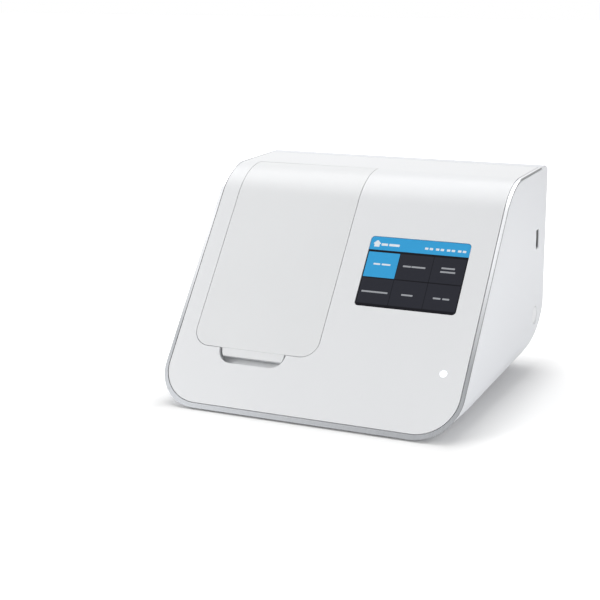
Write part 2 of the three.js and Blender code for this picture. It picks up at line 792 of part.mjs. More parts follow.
function screenBossPlaces() {
  const reach = screenWidth / 2 + panelMargin + bracketEar / 2;
  return cornerPlaces(screenCentreX, screenCentreSpan, reach, screenBossSpread);
}

// Trim band: the strip that outlines the fascia at both sides and the foot
function trimBand() {
  const band = frontStrip(0, frontLandDepth, -overrun, splitY)
    .intersect(outerForm)
    .subtract(fasciaPrism(-seamGap));
  addPiece('trim_band', band, satinBand);
}

// Screen pieces, drawn flat in the slope's own frame
function slopePiece(name, shape, fromDepth, toDepth, material, ...cutters) {
  const whole = prism(shape, toDepth - fromDepth, new THREE.Matrix4().makeTranslation(0, 0, -toDepth));
  return addPiece(name, cutBy(whole, ...cutters), material, slopeGroup);
}

function flatRect(width, length, radius) {
  return roundedRect(screenCentreX, screenCentreSpan, width, length, radius);
}

function screenAssembly() {
  const glassWidth = screenWidth - 2 * seatGap;
  const glassLength = screenLength - 2 * seatGap;
  slopePiece(
    'screen_glass', flatRect(glassWidth, glassLength, screenRadius - seatGap),
    glassSet, glassSet + glassThickness, blackGlass,
  );
  const gasketHole = prism(
    flatRect(screenWidth - 2 * gasketLap, screenLength - 2 * gasketLap, screenRadius),
    cutReach, new THREE.Matrix4().makeTranslation(0, 0, -cutReach / 2),
  );
  const panelWidth = screenWidth + 2 * panelMargin;
  const panelLength = screenLength + 2 * panelMargin;
  slopePiece(
    'screen_gasket', flatRect(panelWidth, panelLength, screenRadius),
    gasketDepth, gasketDepth + gasketThickness, blackRubber, gasketHole,
  );
  slopePiece(
    'lcd_module', flatRect(panelWidth, panelLength, screenRadius),
    panelDepth, panelDepth + panelThickness, darkPlastic,
  );
  const ears = screenBossPlaces().map(([x, span]) => prism(
    roundedRect(x, span, bracketEar + screenBossRadius, bracketEarLength, screenBossRadius),
    bracketSheet, new THREE.Matrix4().makeTranslation(0, 0, -screenBracketDepth - bracketSheet),
  ));
  const sheet = prism(
    flatRect(panelWidth, panelLength, screenRadius), bracketSheet,
    new THREE.Matrix4().makeTranslation(0, 0, -screenBracketDepth - bracketSheet),
  );
  const sheetHole = prism(
    flatRect(ribbonSlotWidth, ribbonSlotLength, screenRadius),
    cutReach, new THREE.Matrix4().makeTranslation(0, 0, -cutReach / 2),
  );
  addPiece('screen_bracket', cutBy(joined(sheet, ...ears), sheetHole), zincSheet, slopeGroup);
}

function flatRod(x, span, fromOut, toOut, radius) {
  const bar = new THREE.CylinderGeometry(radius, radius, toOut - fromOut, roundSides);
  const stand = new THREE.Matrix4().makeRotationX(Math.PI / 2);
  return solid(bar, stand.setPosition(x, span, (fromOut + toOut) / 2));
}

function statusLight() {
  const flangeDepth = fasciaWall + seatGap;
  const pipe = flatRod(lightX, lightSpan, -lightPipeDepth, -lightSet, lightRadius - lightGap);
  const flange = flatRod(lightX, lightSpan, -flangeDepth - lightFlange, -flangeDepth, lightFlangeRadius);
  addPiece('status_light_pipe', pipe.add(flange), clearPlastic, slopeGroup);
  slopePiece(
    'status_light_board', roundedRect(lightX, lightSpan, lightBoardWidth, lightBoardLength, edgeRadius),
    lightPipeDepth + seatGap, lightPipeDepth + seatGap + boardThickness, circuitGreen,
  );
}

// Lid: a bent skin that ends in the hinge barrel, with a pull lip in the scoop
function lid() {
  const skin = frontStrip(0, fasciaWall, 0, hingeY).intersect(lidPrism(seamGap));
  const barrelHalf = lidHalfWidth - seamGap;
  const barrel = rod(
    'x', 0, hinge.x, hinge.y, lidCentreX - barrelHalf, lidCentreX + barrelHalf, barrelRadius,
  );
  const lipOutline = footedOutline(
    lidCentreX, scoopHalfWidth - lipSideGap, scoopFootSpan + lipSideGap, scoopTopSpan - seamGap,
    scoopCornerRadius - lipSideGap,
  );
  const lipTopSpan = lidFootSpan + seamGap;
  const lipFootSpan = lidFootSpan - lipDrop;
  const lipBackSpan = scoopTopSpan - 2 * seamGap;
  const lipProfile = [
    slopePoint(lipTopSpan + overrun, 0), slopePoint(lipTopSpan, 0),
    slopePoint(lipFootSpan, lipSet), slopePoint(lipFootSpan, lipSet + lipThickness),
    slopePoint(lipBackSpan, lipSet + lipThickness), slopePoint(lipBackSpan, fasciaWall / 2),
  ];
  const lip = acrossPrism(lipProfile, lidCentreX - scoopHalfWidth, lidCentreX + scoopHalfWidth)
    .intersect(slopePrism(lipOutline, -scoopDepth, overrun));
  let cover = joined(skin, barrel, lip);
  for (const side of [-1, 1]) {
    const end = lidCentreX + side * (barrelHalf + overrun);
    const inner = lidCentreX + side * (barrelHalf - hingePinReach - seamGap);
    cover = cover.subtract(rod(
      'x', 0, hinge.x, hinge.y, Math.min(end, inner), Math.max(end, inner), hingePinRadius + runningGap,
    ));
  }
  addPiece('lid_cover', cover, whitePlastic, lidGroup);

  const linerTop = fasciaWall + seatGap;
  let liner = frontStrip(linerTop, linerTop + linerWall, 0, ledgeEndY - linerInset)
    .intersect(lidPrism(linerInset));
  for (let index = 0; index < linerRibCount; index += 1) {
    const x = lidCentreX + (index - (linerRibCount - 1) / 2) * linerRibPitch;
    const rib = frontStrip(
      linerTop, linerTop + linerWall + linerRibDepth, lidFootSpan + linerInset + linerRibEnd,
      ledgeEndY - linerInset - linerRibEnd, linerRibWidth / 2, x,
    );
    liner = liner.add(rib);
  }
  const magnetX = lidCentreX + lidHalfWidth - linerInset - lidMagnetInsetX;
  liner = liner.subtract(slopeRod(
    magnetX, lidMagnetSpan, -linerTop - linerWall - overrun, -linerTop + seatGap / 2,
    lidMagnetRadius + runningGap,
  ));
  addPiece('lid_liner', liner, greyPlastic, lidGroup);
  const magnet = slopeRod(magnetX, lidMagnetSpan, -linerTop - linerWall, -linerTop, lidMagnetRadius);
  addPiece('lid_magnet', magnet, steel, lidGroup);
}

// Hinge brackets under the fascia, and the pins that the lid's barrel turns on
function hingeParts() {
  for (const [name, side] of [['left', -1], ['right', 1]]) {
    const near = lidCentreX + side * (lidHalfWidth + seamGap);
    const earFar = near + side * bracketWidth;
    const flangeFar = near + side * bracketFlange;
    const [ear0, ear1] = [Math.min(near, earFar), Math.max(near, earFar)];
    const [wide0, wide1] = [Math.min(near, flangeFar), Math.max(near, flangeFar)];
    const under = fasciaWall + seatGap;
    const flange = frontStrip(under, under + bracketFlangeThickness, 0, hingeY + bracketFoot)
      .intersect(block(wide0, wide1, hingeY - bracketFoot, hingeY + bracketFoot, 0, overallHeight));
    const ear = joined(
      rod('x', 0, hinge.x, hinge.y, ear0, ear1, bracketRadius),
      block(ear0, ear1, hinge.x - bracketRadius, hinge.x + bracketRadius, hinge.y, overallHeight),
    ).intersect(frontStrip(under, shoulderRadius / 2, 0, splitY));
    const bore = rod('x', 0, hinge.x, hinge.y, ear0 - overrun, ear1 + overrun, hingePinRadius + runningGap);
    addPiece(`hinge_bracket_${name}`, cutBy(flange.add(ear), bore), zincSheet);
    const pinIn = lidCentreX + side * (lidHalfWidth - hingePinReach);
    const [pin0, pin1] = [Math.min(pinIn, earFar), Math.max(pinIn, earFar)];
    const pin = rod('x', 0, hinge.x, hinge.y, pin0, pin1, hingePinRadius);
    addPiece(`hinge_pin_${name}`, pin, steel);
  }
}

// Well deck: the moulded tray under the lid, with a trough behind for the hinge barrel
function wellDeck() {
  const top = fasciaWall + 2 * seatGap + ledgeThickness;
  const innerHalf = lidHalfWidth - ledgeWidth;
  const outerHalf = innerHalf + deckWall;
  const rearIn = hingeY - troughRadius - deckWall;
  const floorSpan = (inset, z) => (z - slopeFoot.y + inset * slopeAlong.x) / slopeAlong.y;
  const tray = (half, z, inset, y) => {
    const line = frontLine(inset, floorSpan(inset, z));
    const room = acrossPrism([...line, new THREE.Vector2(rearY, z)], lidCentreX - half, lidCentreX + half);
    return room.intersect(beforeY(y));
  };
  const outer = tray(outerHalf, deckFloorZ - deckWall, top, rearIn + deckWall);
  const hollow = tray(innerHalf, deckFloorZ, -overrun, rearIn).intersect(lidPrism(ledgeWidth));
  const flange = frontStrip(top, top + deckFlange, 0, ledgeEndY)
    .intersect(lidPrism(-ledgeBack))
    .intersect(aboveScoop());
  const troughLeft = lidCentreX - lidHalfWidth + seamGap;
  const troughRight = lidCentreX + lidHalfWidth - seamGap;
  const troughOut = rod('x', 0, hinge.x, hinge.y, troughLeft, troughRight, troughRadius + deckWall);
  const troughIn = rod(
    'x', 0, hinge.x, hinge.y, lidCentreX - lidWidth, lidCentreX + lidWidth, troughRadius,
  );
  const rearWall = block(
    troughLeft, troughRight, rearIn, rearIn + deckWall, hinge.y - 2 * barrelRadius, hinge.y,
  );
  const overTrough = joined(
    block(lidCentreX - lidWidth, lidCentreX + lidWidth, rearIn - overrun, rearY, hinge.y, cutReach),
    frontStrip(-cutReach / 2, top, 0, hingeY),
  );
  let deck = joined(joined(outer, flange).subtract(hollow), troughOut.add(rearWall));
  deck = cutBy(deck, troughIn, overTrough);
  for (const well of wells()) {
    const hole = wellRect(well, holderWall + seatGap);
    deck = deck.subtract(upPrism(hole, deckFloorZ - 2 * deckWall, deckFloorZ + overrun));
  }
  for (const [x, y] of deckPostPlaces()) {
    deck = deck.add(rod('z', x, y, 0, chassisTopZ + seatGap, deckFloorZ - deckWall / 2, deckPostRadius));
  }
  addPiece('well_deck', deck, greyPlastic);
}

function wells() {
  return [
    [lidCentreX - wellPitch / 2, testWellWidth, testWellLength],
    [lidCentreX + wellPitch / 2, sampleWellWidth, sampleWellLength],
  ];
}

// A well's outline, grown all round
function wellRect([x, width, length], grow) {
  return roundedRect(x, wellY, width + 2 * grow, length + 2 * grow, wellRadius + grow);
}

function deckPostPlaces() {
  const reach = lidHalfWidth - ledgeWidth - deckPostInset;
  const rear = hingeY - troughRadius - deckWall - deckPostInset;
  return [[lidCentreX - reach, rear], [lidCentreX + reach, rear], [lidCentreX, rear]];
}

// The deck's front edge starts above the back of the finger scoop
function aboveScoop() {
  const low = scoopTopSpan + scoopWall + seatGap;
  const clear = footedOutline(lidCentreX, lidWidth, low, cutReach, scoopWall);
  return slopePrism(clear, -cutReach / 2, cutReach / 2);
}

// Holders: coloured collars that show where each consumable goes
function holder(name, well, material) {
  const [x, , length] = well;
  const rimZ = deckFloorZ + seatGap;
  const topZ = rimZ + holderFlangeHeight;
  const bore = upPrism(wellRect(well, 0), holderFootZ - overrun, topZ + overrun);
  const notch = block(
    x - notchWidth / 2, x + notchWidth / 2, wellY - length, wellY, topZ - notchDepth, topZ + overrun,
  );
  const body = joined(
    upPrism(wellRect(well, holderWall), holderFootZ, rimZ + overrun),
    upPrism(wellRect(well, holderFlange), rimZ, topZ),
  );
  addPiece(name, cutBy(body, bore, notch), material);
}

function heaterBlocks() {
  const [test, sample] = wells();
  const blockBody = ([x, width, length]) => {
    const outline = roundedRect(
      x, wellY, width + 2 * heaterMargin, length + 2 * heaterMargin, heaterMargin,
    );
    return upPrism(outline, heaterBlockZ, heaterTopZ);
  };
  let testBlock = blockBody(test);
  for (const side of [-1, 1]) {
    testBlock = testBlock.subtract(taperedBore(
      test[0] + side * heaterTubePitch / 2, heaterTubeRadius, heaterTubeDepth, heaterTubeFootShare,
    ));
  }
  const lensY = wellY + testWellLength / 2 + heaterMargin;
  testBlock = testBlock.subtract(rod(
    'y', test[0], 0, opticsAxisZ(), lensY - lensLength - seatGap, lensY + overrun, opticsHoleRadius,
  ));
  addPiece('test_base_heater', testBlock, aluminium);
  const sampleBlock = blockBody(sample).subtract(taperedBore(
    sample[0], sampleBoreRadius, sampleBoreDepth, sampleBoreFootShare,
  ));
  addPiece('sample_heater', sampleBlock, aluminium);
}

function taperedBore(x, radius, depth, footShare) {
  const leadZ = heaterTopZ - boreLead;
  const mouth = radius + boreLead + overrun;
  const lead = rod('z', x, wellY, 0, leadZ, heaterTopZ + overrun, radius, mouth);
  const bore = rod(
    'z', x, wellY, 0, heaterTopZ - depth, leadZ + boreLead / 2, radius * footShare, radius,
  );
  return bore.add(lead);
}

function opticsAxisZ() {
  return heaterBlockZ + opticsHeight / 2;
}

function optics() {
  const [x] = wells()[0];
  const faceY = wellY + testWellLength / 2 + heaterMargin + seatGap;
  const axisZ = opticsAxisZ();
  let head = block(
    x - opticsWidth / 2, x + opticsWidth / 2, faceY, faceY + opticsLength,
    heaterBlockZ, heaterBlockZ + opticsHeight,
  );
  head = head.subtract(rod(
    'y', x, 0, axisZ, faceY - overrun, faceY + opticsLength / 2, opticsHoleRadius,
  ));
  addPiece('optics_module', head, darkPlastic);
  const lens = rod('y', x, 0, axisZ, faceY - lensLength / 2, faceY + lensLength / 2 + lensSet, lensRadius);
  addPiece('optics_lens', lens, lensGlass);
}

function lidSensor() {
  const x = lidCentreX + lidHalfWidth - ledgeWidth + deckWall + seatGap;
  const place = slopePoint(lidMagnetSpan, fasciaWall + sensorInset);
  addPiece('lid_sensor', block(
    x, x + sensorWidth, place.x - sensorLength / 2, place.x + sensorLength / 2,
    place.y - sensorHeight, place.y,
  ), darkPlastic);
}

// Chassis: a sheet tray with a flange at its rear for the connector board
function chassis() {
  let tray = block(-chassisHalfWidth, chassisHalfWidth, chassisFrontY, chassisRearY, chassisZ, chassisTopZ);
  const flangeTop = portZ + ioBoardHeight / 2;
  const flangeY = ioBoardY() - seatGap - chassisSheet;
  const flangeLeft = ioBoardCentreX - ioBoardWidth / 2 + ioFlangeInset;
  const flangeRight = ioBoardCentreX + ioBoardWidth / 2 - ioFlangeInset;
  tray = joined(
    tray,
    block(flangeLeft, flangeRight, chassisRearY - overrun, flangeY + chassisSheet, chassisZ, chassisTopZ),
    block(flangeLeft, flangeRight, flangeY, flangeY + chassisSheet, chassisZ, flangeTop),
  );
  for (const [x, y] of heaterBoardPosts()) {
    tray = tray.add(rod('z', x, y, 0, chassisZ, heaterBoardZ - seatGap, standoffRadius));
  }
  for (const [x, y] of mainBoardPosts()) {
    tray = tray.add(rod('z', x, y, 0, chassisZ, mainBoardZ - seatGap, standoffRadius));
  }
  for (const side of [-1, 1]) {
    tray = tray.subtract(rod(
      'z', side * chassisHolePitch, 0, 0, chassisZ - overrun, chassisTopZ + overrun, chassisHoleRadius,
    ));
  }
  addPiece('chassis_tray', tray, zincSheet);
}

function ioBoardY() {
  return portBackY - seatGap - boardThickness;
}

function heaterBoardPosts() {
  return cornerPlaces(
    lidCentreX, heaterBoardY, heaterBoardWidth / 2 - boardPostInset, heaterBoardLength / 2 - boardPostInset,
  );
}

function mainBoardPosts() {
  return cornerPlaces(
    mainBoardCentreX, mainBoardCentreY,
    mainBoardWidth / 2 - boardPostInset, mainBoardLength / 2 - boardPostInset,
  );
}

function boards() {
  addPiece('heater_board', upPrism(
    roundedRect(lidCentreX, heaterBoardY, heaterBoardWidth, heaterBoardLength, edgeRadius),
    heaterBoardZ, heaterBoardZ + boardThickness,
  ), circuitGreen);
  addPiece('main_board', upPrism(
    roundedRect(mainBoardCentreX, mainBoardCentreY, mainBoardWidth, mainBoardLength, edgeRadius),
    mainBoardZ, mainBoardZ + boardThickness,
  ), circuitGreen);
  const boardTop = mainBoardZ + boardThickness + seatGap;
  const shieldHalf = shieldWidth / 2;
  addPiece('processor_shield', block(
    shieldX - shieldHalf, shieldX + shieldHalf, shieldY - shieldHalf, shieldY + shieldHalf,
    boardTop, boardTop + shieldHeight,
  ), zincSheet);
  const coneZ = boardTop + speakerHeight / 2;
  const speakerTopZ = boardTop + speakerHeight;
  const speaker = cutBy(
    rod('z', speakerX, speakerY, 0, boardTop, speakerTopZ, speakerRadius),
    rod('z', speakerX, speakerY, 0, coneZ, speakerTopZ + overrun, speakerHoleRadius),
  );
  addPiece('speaker', speaker, darkPlastic);
  const ioY = ioBoardY();
  addPiece('connector_board', block(
    ioBoardCentreX - ioBoardWidth / 2, ioBoardCentreX + ioBoardWidth / 2, ioY, ioY + boardThickness,
    portZ - ioBoardHeight / 2, portZ + ioBoardHeight / 2,
  ), circuitGreen);
}

// Rear connectors, from the board to just inside the rear wall's face
const portFaceY = rearY - seatGap;

function rearPorts() {
  const jackBody = block(
    jackX - jackWidth / 2, jackX + jackWidth / 2, portBackY, portFaceY,
    portZ - jackHeight / 2, portZ + jackHeight / 2,
  );
  const boreY = portFaceY - jackBoreDepth;
  const jackBore = rod('y', jackX, 0, portZ, boreY, portFaceY + overrun, jackBoreRadius);
  const jackPin = rod('y', jackX, 0, portZ, boreY - overrun, portFaceY - overrun, jackPinRadius);
  addPiece('power_jack', cutBy(jackBody, jackBore).add(jackPin), darkPlastic);
  const mouthZ = portZ - (networkHeight - networkMouthHeight) / 2 + networkKeyHeight;
  const network = cutBy(
    block(
      networkX - networkWidth / 2, networkX + networkWidth / 2, portBackY, portFaceY,
      portZ - networkHeight / 2, portZ + networkHeight / 2,
    ),
    block(
      networkX - networkMouthWidth / 2, networkX + networkMouthWidth / 2, portFaceY - networkMouthDepth,
      portFaceY + overrun, mouthZ - networkMouthHeight / 2, mouthZ + networkMouthHeight / 2,
    ),
    block(
      networkX - networkKeyWidth / 2, networkX + networkKeyWidth / 2, portFaceY - networkMouthDepth,
      portFaceY + overrun, mouthZ - networkMouthHeight / 2 - networkKeyHeight, mouthZ,
    ),
  );
  addPiece('network_port', network, steel);
  for (const [name, index] of [['left', 1], ['right', 0]]) {
    const port = usbPort(portFaceY - portBackY);
    const place = new THREE.Matrix4().makeRotationZ(Math.PI / 2);
    place.setPosition(usbPortX + index * usbPortPitch, portFaceY, portZ);
    addPiece(`usb_port_${name}`, port, steel).applyMatrix4(place);
  }
}

// A connector shell with its mouth at the origin facing +X, its width along Y
function usbPort(length) {
  const half = usbWidth / 2;
  const tall = usbHeight / 2;
  const shell = block(-length, 0, -half, half, -tall, tall);
  const room = block(
    usbBackThickness - usbDepth, overrun, usbShell - half, half - usbShell, usbShell - tall, tall - usbShell,
  );
  const tongue = block(
    -usbDepth, -usbTongueSet, -usbTongueWidth / 2, usbTongueWidth / 2, 0, usbTongueThickness,
  );
  return shell.subtract(room).add(tongue);
}

function sideParts() {
  const faceX = overallWidth / 2 - seatGap;
  const length = faceX - sideBoardFaceX - seatGap;
  const turn = new THREE.Matrix4().makeRotationX(Math.PI / 2).setPosition(faceX, sideY, sidePortZ);
  addPiece('side_usb_port', usbPort(length), steel).applyMatrix4(turn);
  addPiece('side_board', block(
    sideBoardX, sideBoardFaceX, sideY - sideBoardWidth / 2, sideY + sideBoardWidth / 2,
    buttonZ - sideBoardMargin, sidePortZ + sideBoardMargin,
  ), circuitGreen);
  const switchX = sideBoardFaceX + seatGap;
  const half = switchSize / 2;
  const switchBody = block(
    switchX, switchX + switchHeight, sideY - half, sideY + half, buttonZ - half, buttonZ + half,
  );
  const plungerEnd = switchX + switchHeight + plungerHeight;
  const plunger = rod('x', 0, sideY, buttonZ, switchX, plungerEnd, plungerRadius);
  addPiece('power_switch', switchBody.add(plunger), darkPlastic);

  const stemEnd = plungerEnd + seatGap + buttonTravel;
  const flangeFaceX = sideWallX - seatGap;
  const flangeBackX = flangeFaceX - buttonFlangeThickness;
  const capX = overallWidth / 2;
  const cap = joined(
    rod('x', 0, sideY, buttonZ, flangeBackX, capX, buttonRadius),
    rod('x', 0, sideY, buttonZ, flangeBackX, flangeFaceX, buttonRadius + buttonFlange),
    rod('x', 0, sideY, buttonZ, stemEnd, flangeBackX + overrun, buttonStemRadius),
  );
  const dish = rod(
    'x', 0, sideY, buttonZ, capX - buttonDish, capX + overrun, buttonRadius - 2 * buttonDish, buttonRadius,
  );
  addPiece('power_button', cap.subtract(dish), whitePlastic, buttonGroup);

  const springFrom = sideBoardFaceX + seatGap + springWire / 2;
  const springTo = flangeBackX - seatGap - springWire / 2;
  addPiece('button_spring', springSolid(springFrom, springTo), steel, buttonGroup);
}

class Helix extends THREE.Curve {
  constructor(from, to) {
    super();
    this.from = from;
    this.to = to;
  }

  getPoint(share, target = new THREE.Vector3()) {
    const angle = share * springTurns * Math.PI * 2;
    return target.set(
      this.from + (this.to - this.from) * share,
      sideY + springRadius * Math.cos(angle),
      buttonZ + springRadius * Math.sin(angle),
    );
  }
}

function springSolid(from, to) {
  const section = new THREE.Shape();
  section.absarc(0, 0, springWire / 2, 0, Math.PI * 2);
  const wire = new THREE.ExtrudeGeometry(section, {
    steps: springTurns * springSteps,
    curveSegments: springSides,
    bevelEnabled: false,
    extrudePath: new Helix(from, to),
  });
  return solid(wire);
}

rearHousing();
basePlate();
feetAndScrews();
frontFascia();
trimBand();
screenAssembly();
statusLight();
lid();
hingeParts();
wellDeck();
holder('test_base_holder', wells()[0], orangePlastic);
holder('sample_receiver_holder', wells()[1], bluePlastic);
heaterBlocks();
optics();
lidSensor();
chassis();
boards();
rearPorts();
sideParts();

export default unit;
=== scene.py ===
import math

import bmesh
import bpy
from mathutils import Matrix, Vector


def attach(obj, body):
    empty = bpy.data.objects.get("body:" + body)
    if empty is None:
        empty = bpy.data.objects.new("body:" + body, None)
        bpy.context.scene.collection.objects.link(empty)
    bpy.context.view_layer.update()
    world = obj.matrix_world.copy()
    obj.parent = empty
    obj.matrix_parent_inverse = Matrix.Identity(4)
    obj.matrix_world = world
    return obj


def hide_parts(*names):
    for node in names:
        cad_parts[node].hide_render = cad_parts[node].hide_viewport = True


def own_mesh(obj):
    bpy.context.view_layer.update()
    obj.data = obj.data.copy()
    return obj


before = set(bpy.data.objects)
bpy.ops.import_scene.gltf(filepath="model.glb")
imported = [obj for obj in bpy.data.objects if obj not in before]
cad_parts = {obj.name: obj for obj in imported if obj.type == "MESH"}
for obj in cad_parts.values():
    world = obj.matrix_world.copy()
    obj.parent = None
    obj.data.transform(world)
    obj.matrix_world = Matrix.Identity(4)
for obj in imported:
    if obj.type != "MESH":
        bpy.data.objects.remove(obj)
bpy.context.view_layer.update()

# The molecular point-of-care analyzer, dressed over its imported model. Lengths are written in
# millimetres and become metres through MM where a tool is given them.
MM = 0.001

# The case and its side profile
WIDTH = 207.0
DEPTH = 194.0
HEIGHT = 145.0
STANDOFF = 1.2
SLOPE = math.radians(52.5)
TOP_RISE = math.radians(1.2)
SHOULDER = 44.0
REAR_TOP = 10.0
REAR_FOOT = 26.0
REAR_CORNER = 4.0
LOWER_CORNER = 29.0
CORNER_GROWTH = 10.0
GROWTH_START = 40.0
SHELL_WALL = 2.5
LAND_DEPTH = 1.5
SPLIT_Y = 77.5
FRONT_Y = -DEPTH / 2
REAR_Y = DEPTH / 2
SEAT = 0.3
SEAM = 0.4

# The front panel, the lid and the scoop, with spans up the slope
PANEL_WALL = 2.6
PANEL_HALF = 100.8
PANEL_FOOT = 3.8
PANEL_CORNER = 26.0
LID_X = -43.9
LID_HALF = 45.0
LID_FOOT = 43.6
LID_CORNER = 12.0
HINGE_Y = 29.015
HINGE_DEPTH = 4.1
OPENING_REAR = 34.05
BARREL = 3.9
TAIL = 4.75
TAIL_SWING = 6.6
DECK_RIM = 2.0
TROUGH_WALL = 1.6
LEDGE = 4.5
LEDGE_BACK = 2.0
LEDGE_WALL = 1.7
SCOOP_HALF = 24.0
SCOOP_FOOT = 33.6
SCOOP_TOP = 47.0
SCOOP_CORNER = 10.0
SCOOP_DEPTH = 8.0
SCOOP_WALL = 1.6

# The screen and the status light
SCREEN_X = 51.2
SCREEN_SPAN = 108.75
SCREEN_WIDTH = 68.4
SCREEN_LENGTH = 50.2
SCREEN_CORNER = 2.6
LIGHT_X = 86.6
LIGHT_SPAN = 44.7
LIGHT_RADIUS = 2.5

# The deck under the lid
DECK_FLOOR = 42.0
DECK_WALL = 2.0
WELL_Y = -18.0
TEST_X = LID_X - 20.0
SAMPLE_X = LID_X + 20.0

# The right side
SIDE_Y = 73.0
SOCKET_Z = 96.0
KEY_Z = 42.0
KEY_RADIUS = 6.0

SMOOTH = math.radians(35)
along_slope = Vector((0, math.cos(SLOPE), math.sin(SLOPE)))
out_of_slope = Vector((0, -math.sin(SLOPE), math.cos(SLOPE)))
along_top = Vector((0, math.cos(TOP_RISE), math.sin(TOP_RISE)))
out_of_top = Vector((0, -math.sin(TOP_RISE), math.cos(TOP_RISE)))
slope_foot = Vector((0, FRONT_Y, STANDOFF))
top_end = Vector((0, REAR_Y - REAR_TOP, HEIGHT - REAR_TOP)) + out_of_top * REAR_TOP


def shoulder_middle():
    """The centre of the shoulder's arc, which the slope and the top both touch."""
    low = slope_foot - out_of_slope * SHOULDER
    high = top_end - out_of_top * SHOULDER
    between = high - low
    cross = along_slope.y * along_top.z - along_slope.z * along_top.y
    return low + along_slope * ((between.y * along_top.z - between.z * along_top.y) / cross)


shoulder_centre = shoulder_middle()
slope_length = (shoulder_centre - slope_foot).dot(along_slope)


# Handling of pieces, as at a bench
def put_down():
    """Deselects everything."""
    for one in list(bpy.context.selected_objects):
        one.select_set(False)


def take_up(piece):
    """Makes one piece the only one selected."""
    put_down()
    piece.select_set(True)
    bpy.context.view_layer.objects.active = piece


def open_up(piece, kind="FACE"):
    """Goes into edit mode on one piece, with faces, edges or points to be picked."""
    take_up(piece)
    bpy.ops.object.mode_set(mode="EDIT")
    bpy.ops.mesh.select_mode(type=kind)
    bpy.ops.mesh.select_all(action="DESELECT")


def pick(piece, kind, test):
    """In edit mode, selects the faces, edges or points that pass a test of place or normal."""
    bpy.ops.mesh.select_mode(type=kind)
    bpy.ops.mesh.select_all(action="DESELECT")
    shape = bmesh.from_edit_mesh(piece.data)
    shape.normal_update()
    items = {"FACE": shape.faces, "EDGE": shape.edges, "VERT": shape.verts}[kind]
    for item in items:
        if test(item):
            item.select_set(True)
    shape.select_flush_mode()
    bmesh.update_edit_mesh(piece.data)


def close_up():
    bpy.ops.object.mode_set(mode="OBJECT")


def settle(piece):
    """Puts a piece's turn, size and place into its mesh."""
    take_up(piece)
    bpy.ops.object.transform_apply(location=True, rotation=True, scale=True)
    return piece


def block(name, x, y, z):
    """A block between two places on each axis."""
    put_down()
    ends = (x, y, z)
    bpy.ops.mesh.primitive_cube_add(
        size=1, location=[(a + b) / 2 * MM for a, b in ends], scale=[(b - a) * MM for a, b in ends],
    )
    piece = bpy.context.active_object
    piece.name = name
    return settle(piece)


def bar(name, axis, at, start, end, radius, end_radius=None, sides=48):
    """A round bar along one axis, through a place on the other two."""
    put_down()
    far = radius if end_radius is None else end_radius
    turn = {"x": (0, math.pi / 2, 0), "y": (-math.pi / 2, 0, 0), "z": (0, 0, 0)}[axis]
    middle = (start + end) / 2
    place = {"x": (middle, at[0], at[1]), "y": (at[0], middle, at[1]), "z": (at[0], at[1], middle)}[axis]
    bpy.ops.mesh.primitive_cone_add(
        vertices=sides, radius1=radius * MM, radius2=far * MM, depth=(end - start) * MM,
        location=[p * MM for p in place], rotation=turn,
    )
    piece = bpy.context.active_object
    piece.name = name
    return settle(piece)


def lay_on_slope(piece):
    """Lifts a piece that was made flat, X and span and height, onto the slope."""
    take_up(piece)
    piece.rotation_euler = (SLOPE, 0, 0)
    piece.location = slope_foot * MM
    return settle(piece)


def bevel_edges(piece, test, radius, steps):
    """Rounds the edges that pass a test."""
    open_up(piece, "EDGE")
    pick(piece, "EDGE", test)
    bpy.ops.mesh.bevel(
        offset=radius * MM, offset_type="OFFSET", segments=steps, affect="EDGES", clamp_overlap=False,
    )
    close_up()


def edge_line(edge):
    return (edge.verts[1].co - edge.verts[0].co).normalized()


def middle_of(edge):
    return (edge.verts[0].co + edge.verts[1].co) / 2


def runs_along(direction, place=None):
    """A test for edges that run one way, and whose middle passes a second test."""
    line = Vector(direction)

    def test(edge):
        return abs(edge_line(edge).dot(line)) > 0.999 and (place is None or place(middle_of(edge)))
    return test


def faces_toward(direction, place=None):
    """A test for faces that look one way."""
    line = Vector(direction).normalized()

    def test(face):
        return face.normal.dot(line) > 0.999 and (place is None or place(face.calc_center_median()))
    return test


def join_mesh(piece, tool, way):
    """Joins, cuts or limits a piece by another one, which is used up."""
    take_up(piece)
    step = piece.modifiers.new(way.lower(), "BOOLEAN")
    step.operation = way
    step.solver = "EXACT"
    step.object = tool
    bpy.ops.object.modifier_apply(modifier=step.name)
    bpy.data.objects.remove(tool)
    open_up(piece, "VERT")
    bpy.ops.mesh.select_all(action="SELECT")
    bpy.ops.mesh.remove_doubles(threshold=0.000005)
    close_up()
    return piece


def cut(piece, *tools):
    for tool in tools:
        join_mesh(piece, tool, "DIFFERENCE")
    return piece


def fuse(piece, *others):
    for other in others:
        join_mesh(piece, other, "UNION")
    return piece


def keep_within(piece, tool):
    return join_mesh(piece, tool, "INTERSECT")


def copy_of(piece, name):
    double = piece.copy()
    double.data = piece.data.copy()
    double.name = name
    bpy.context.scene.collection.objects.link(double)
    return double


def tidy_mesh(piece):
    """Merges doubled points and drops needless lines on flat faces."""
    open_up(piece, "VERT")
    bpy.ops.mesh.select_all(action="SELECT")
    bpy.ops.mesh.remove_doubles(threshold=0.00001)
    bpy.ops.mesh.dissolve_limited(angle_limit=math.radians(0.05))
    close_up()


def soften(piece, width, steps=3, limit=40):
    """Breaks the sharp edges as a mould does, and shades the rest smooth."""
    tidy_mesh(piece)
    take_up(piece)
    round_over = piece.modifiers.new("broken_edges", "BEVEL")
    round_over.width = width * MM
    round_over.segments = steps
    round_over.limit_method = "ANGLE"
    round_over.angle_limit = math.radians(limit)
    round_over.miter_outer = "MITER_ARC"
    round_over.use_clamp_overlap = True
    bpy.ops.object.modifier_apply(modifier=round_over.name)
    return smooth(piece)


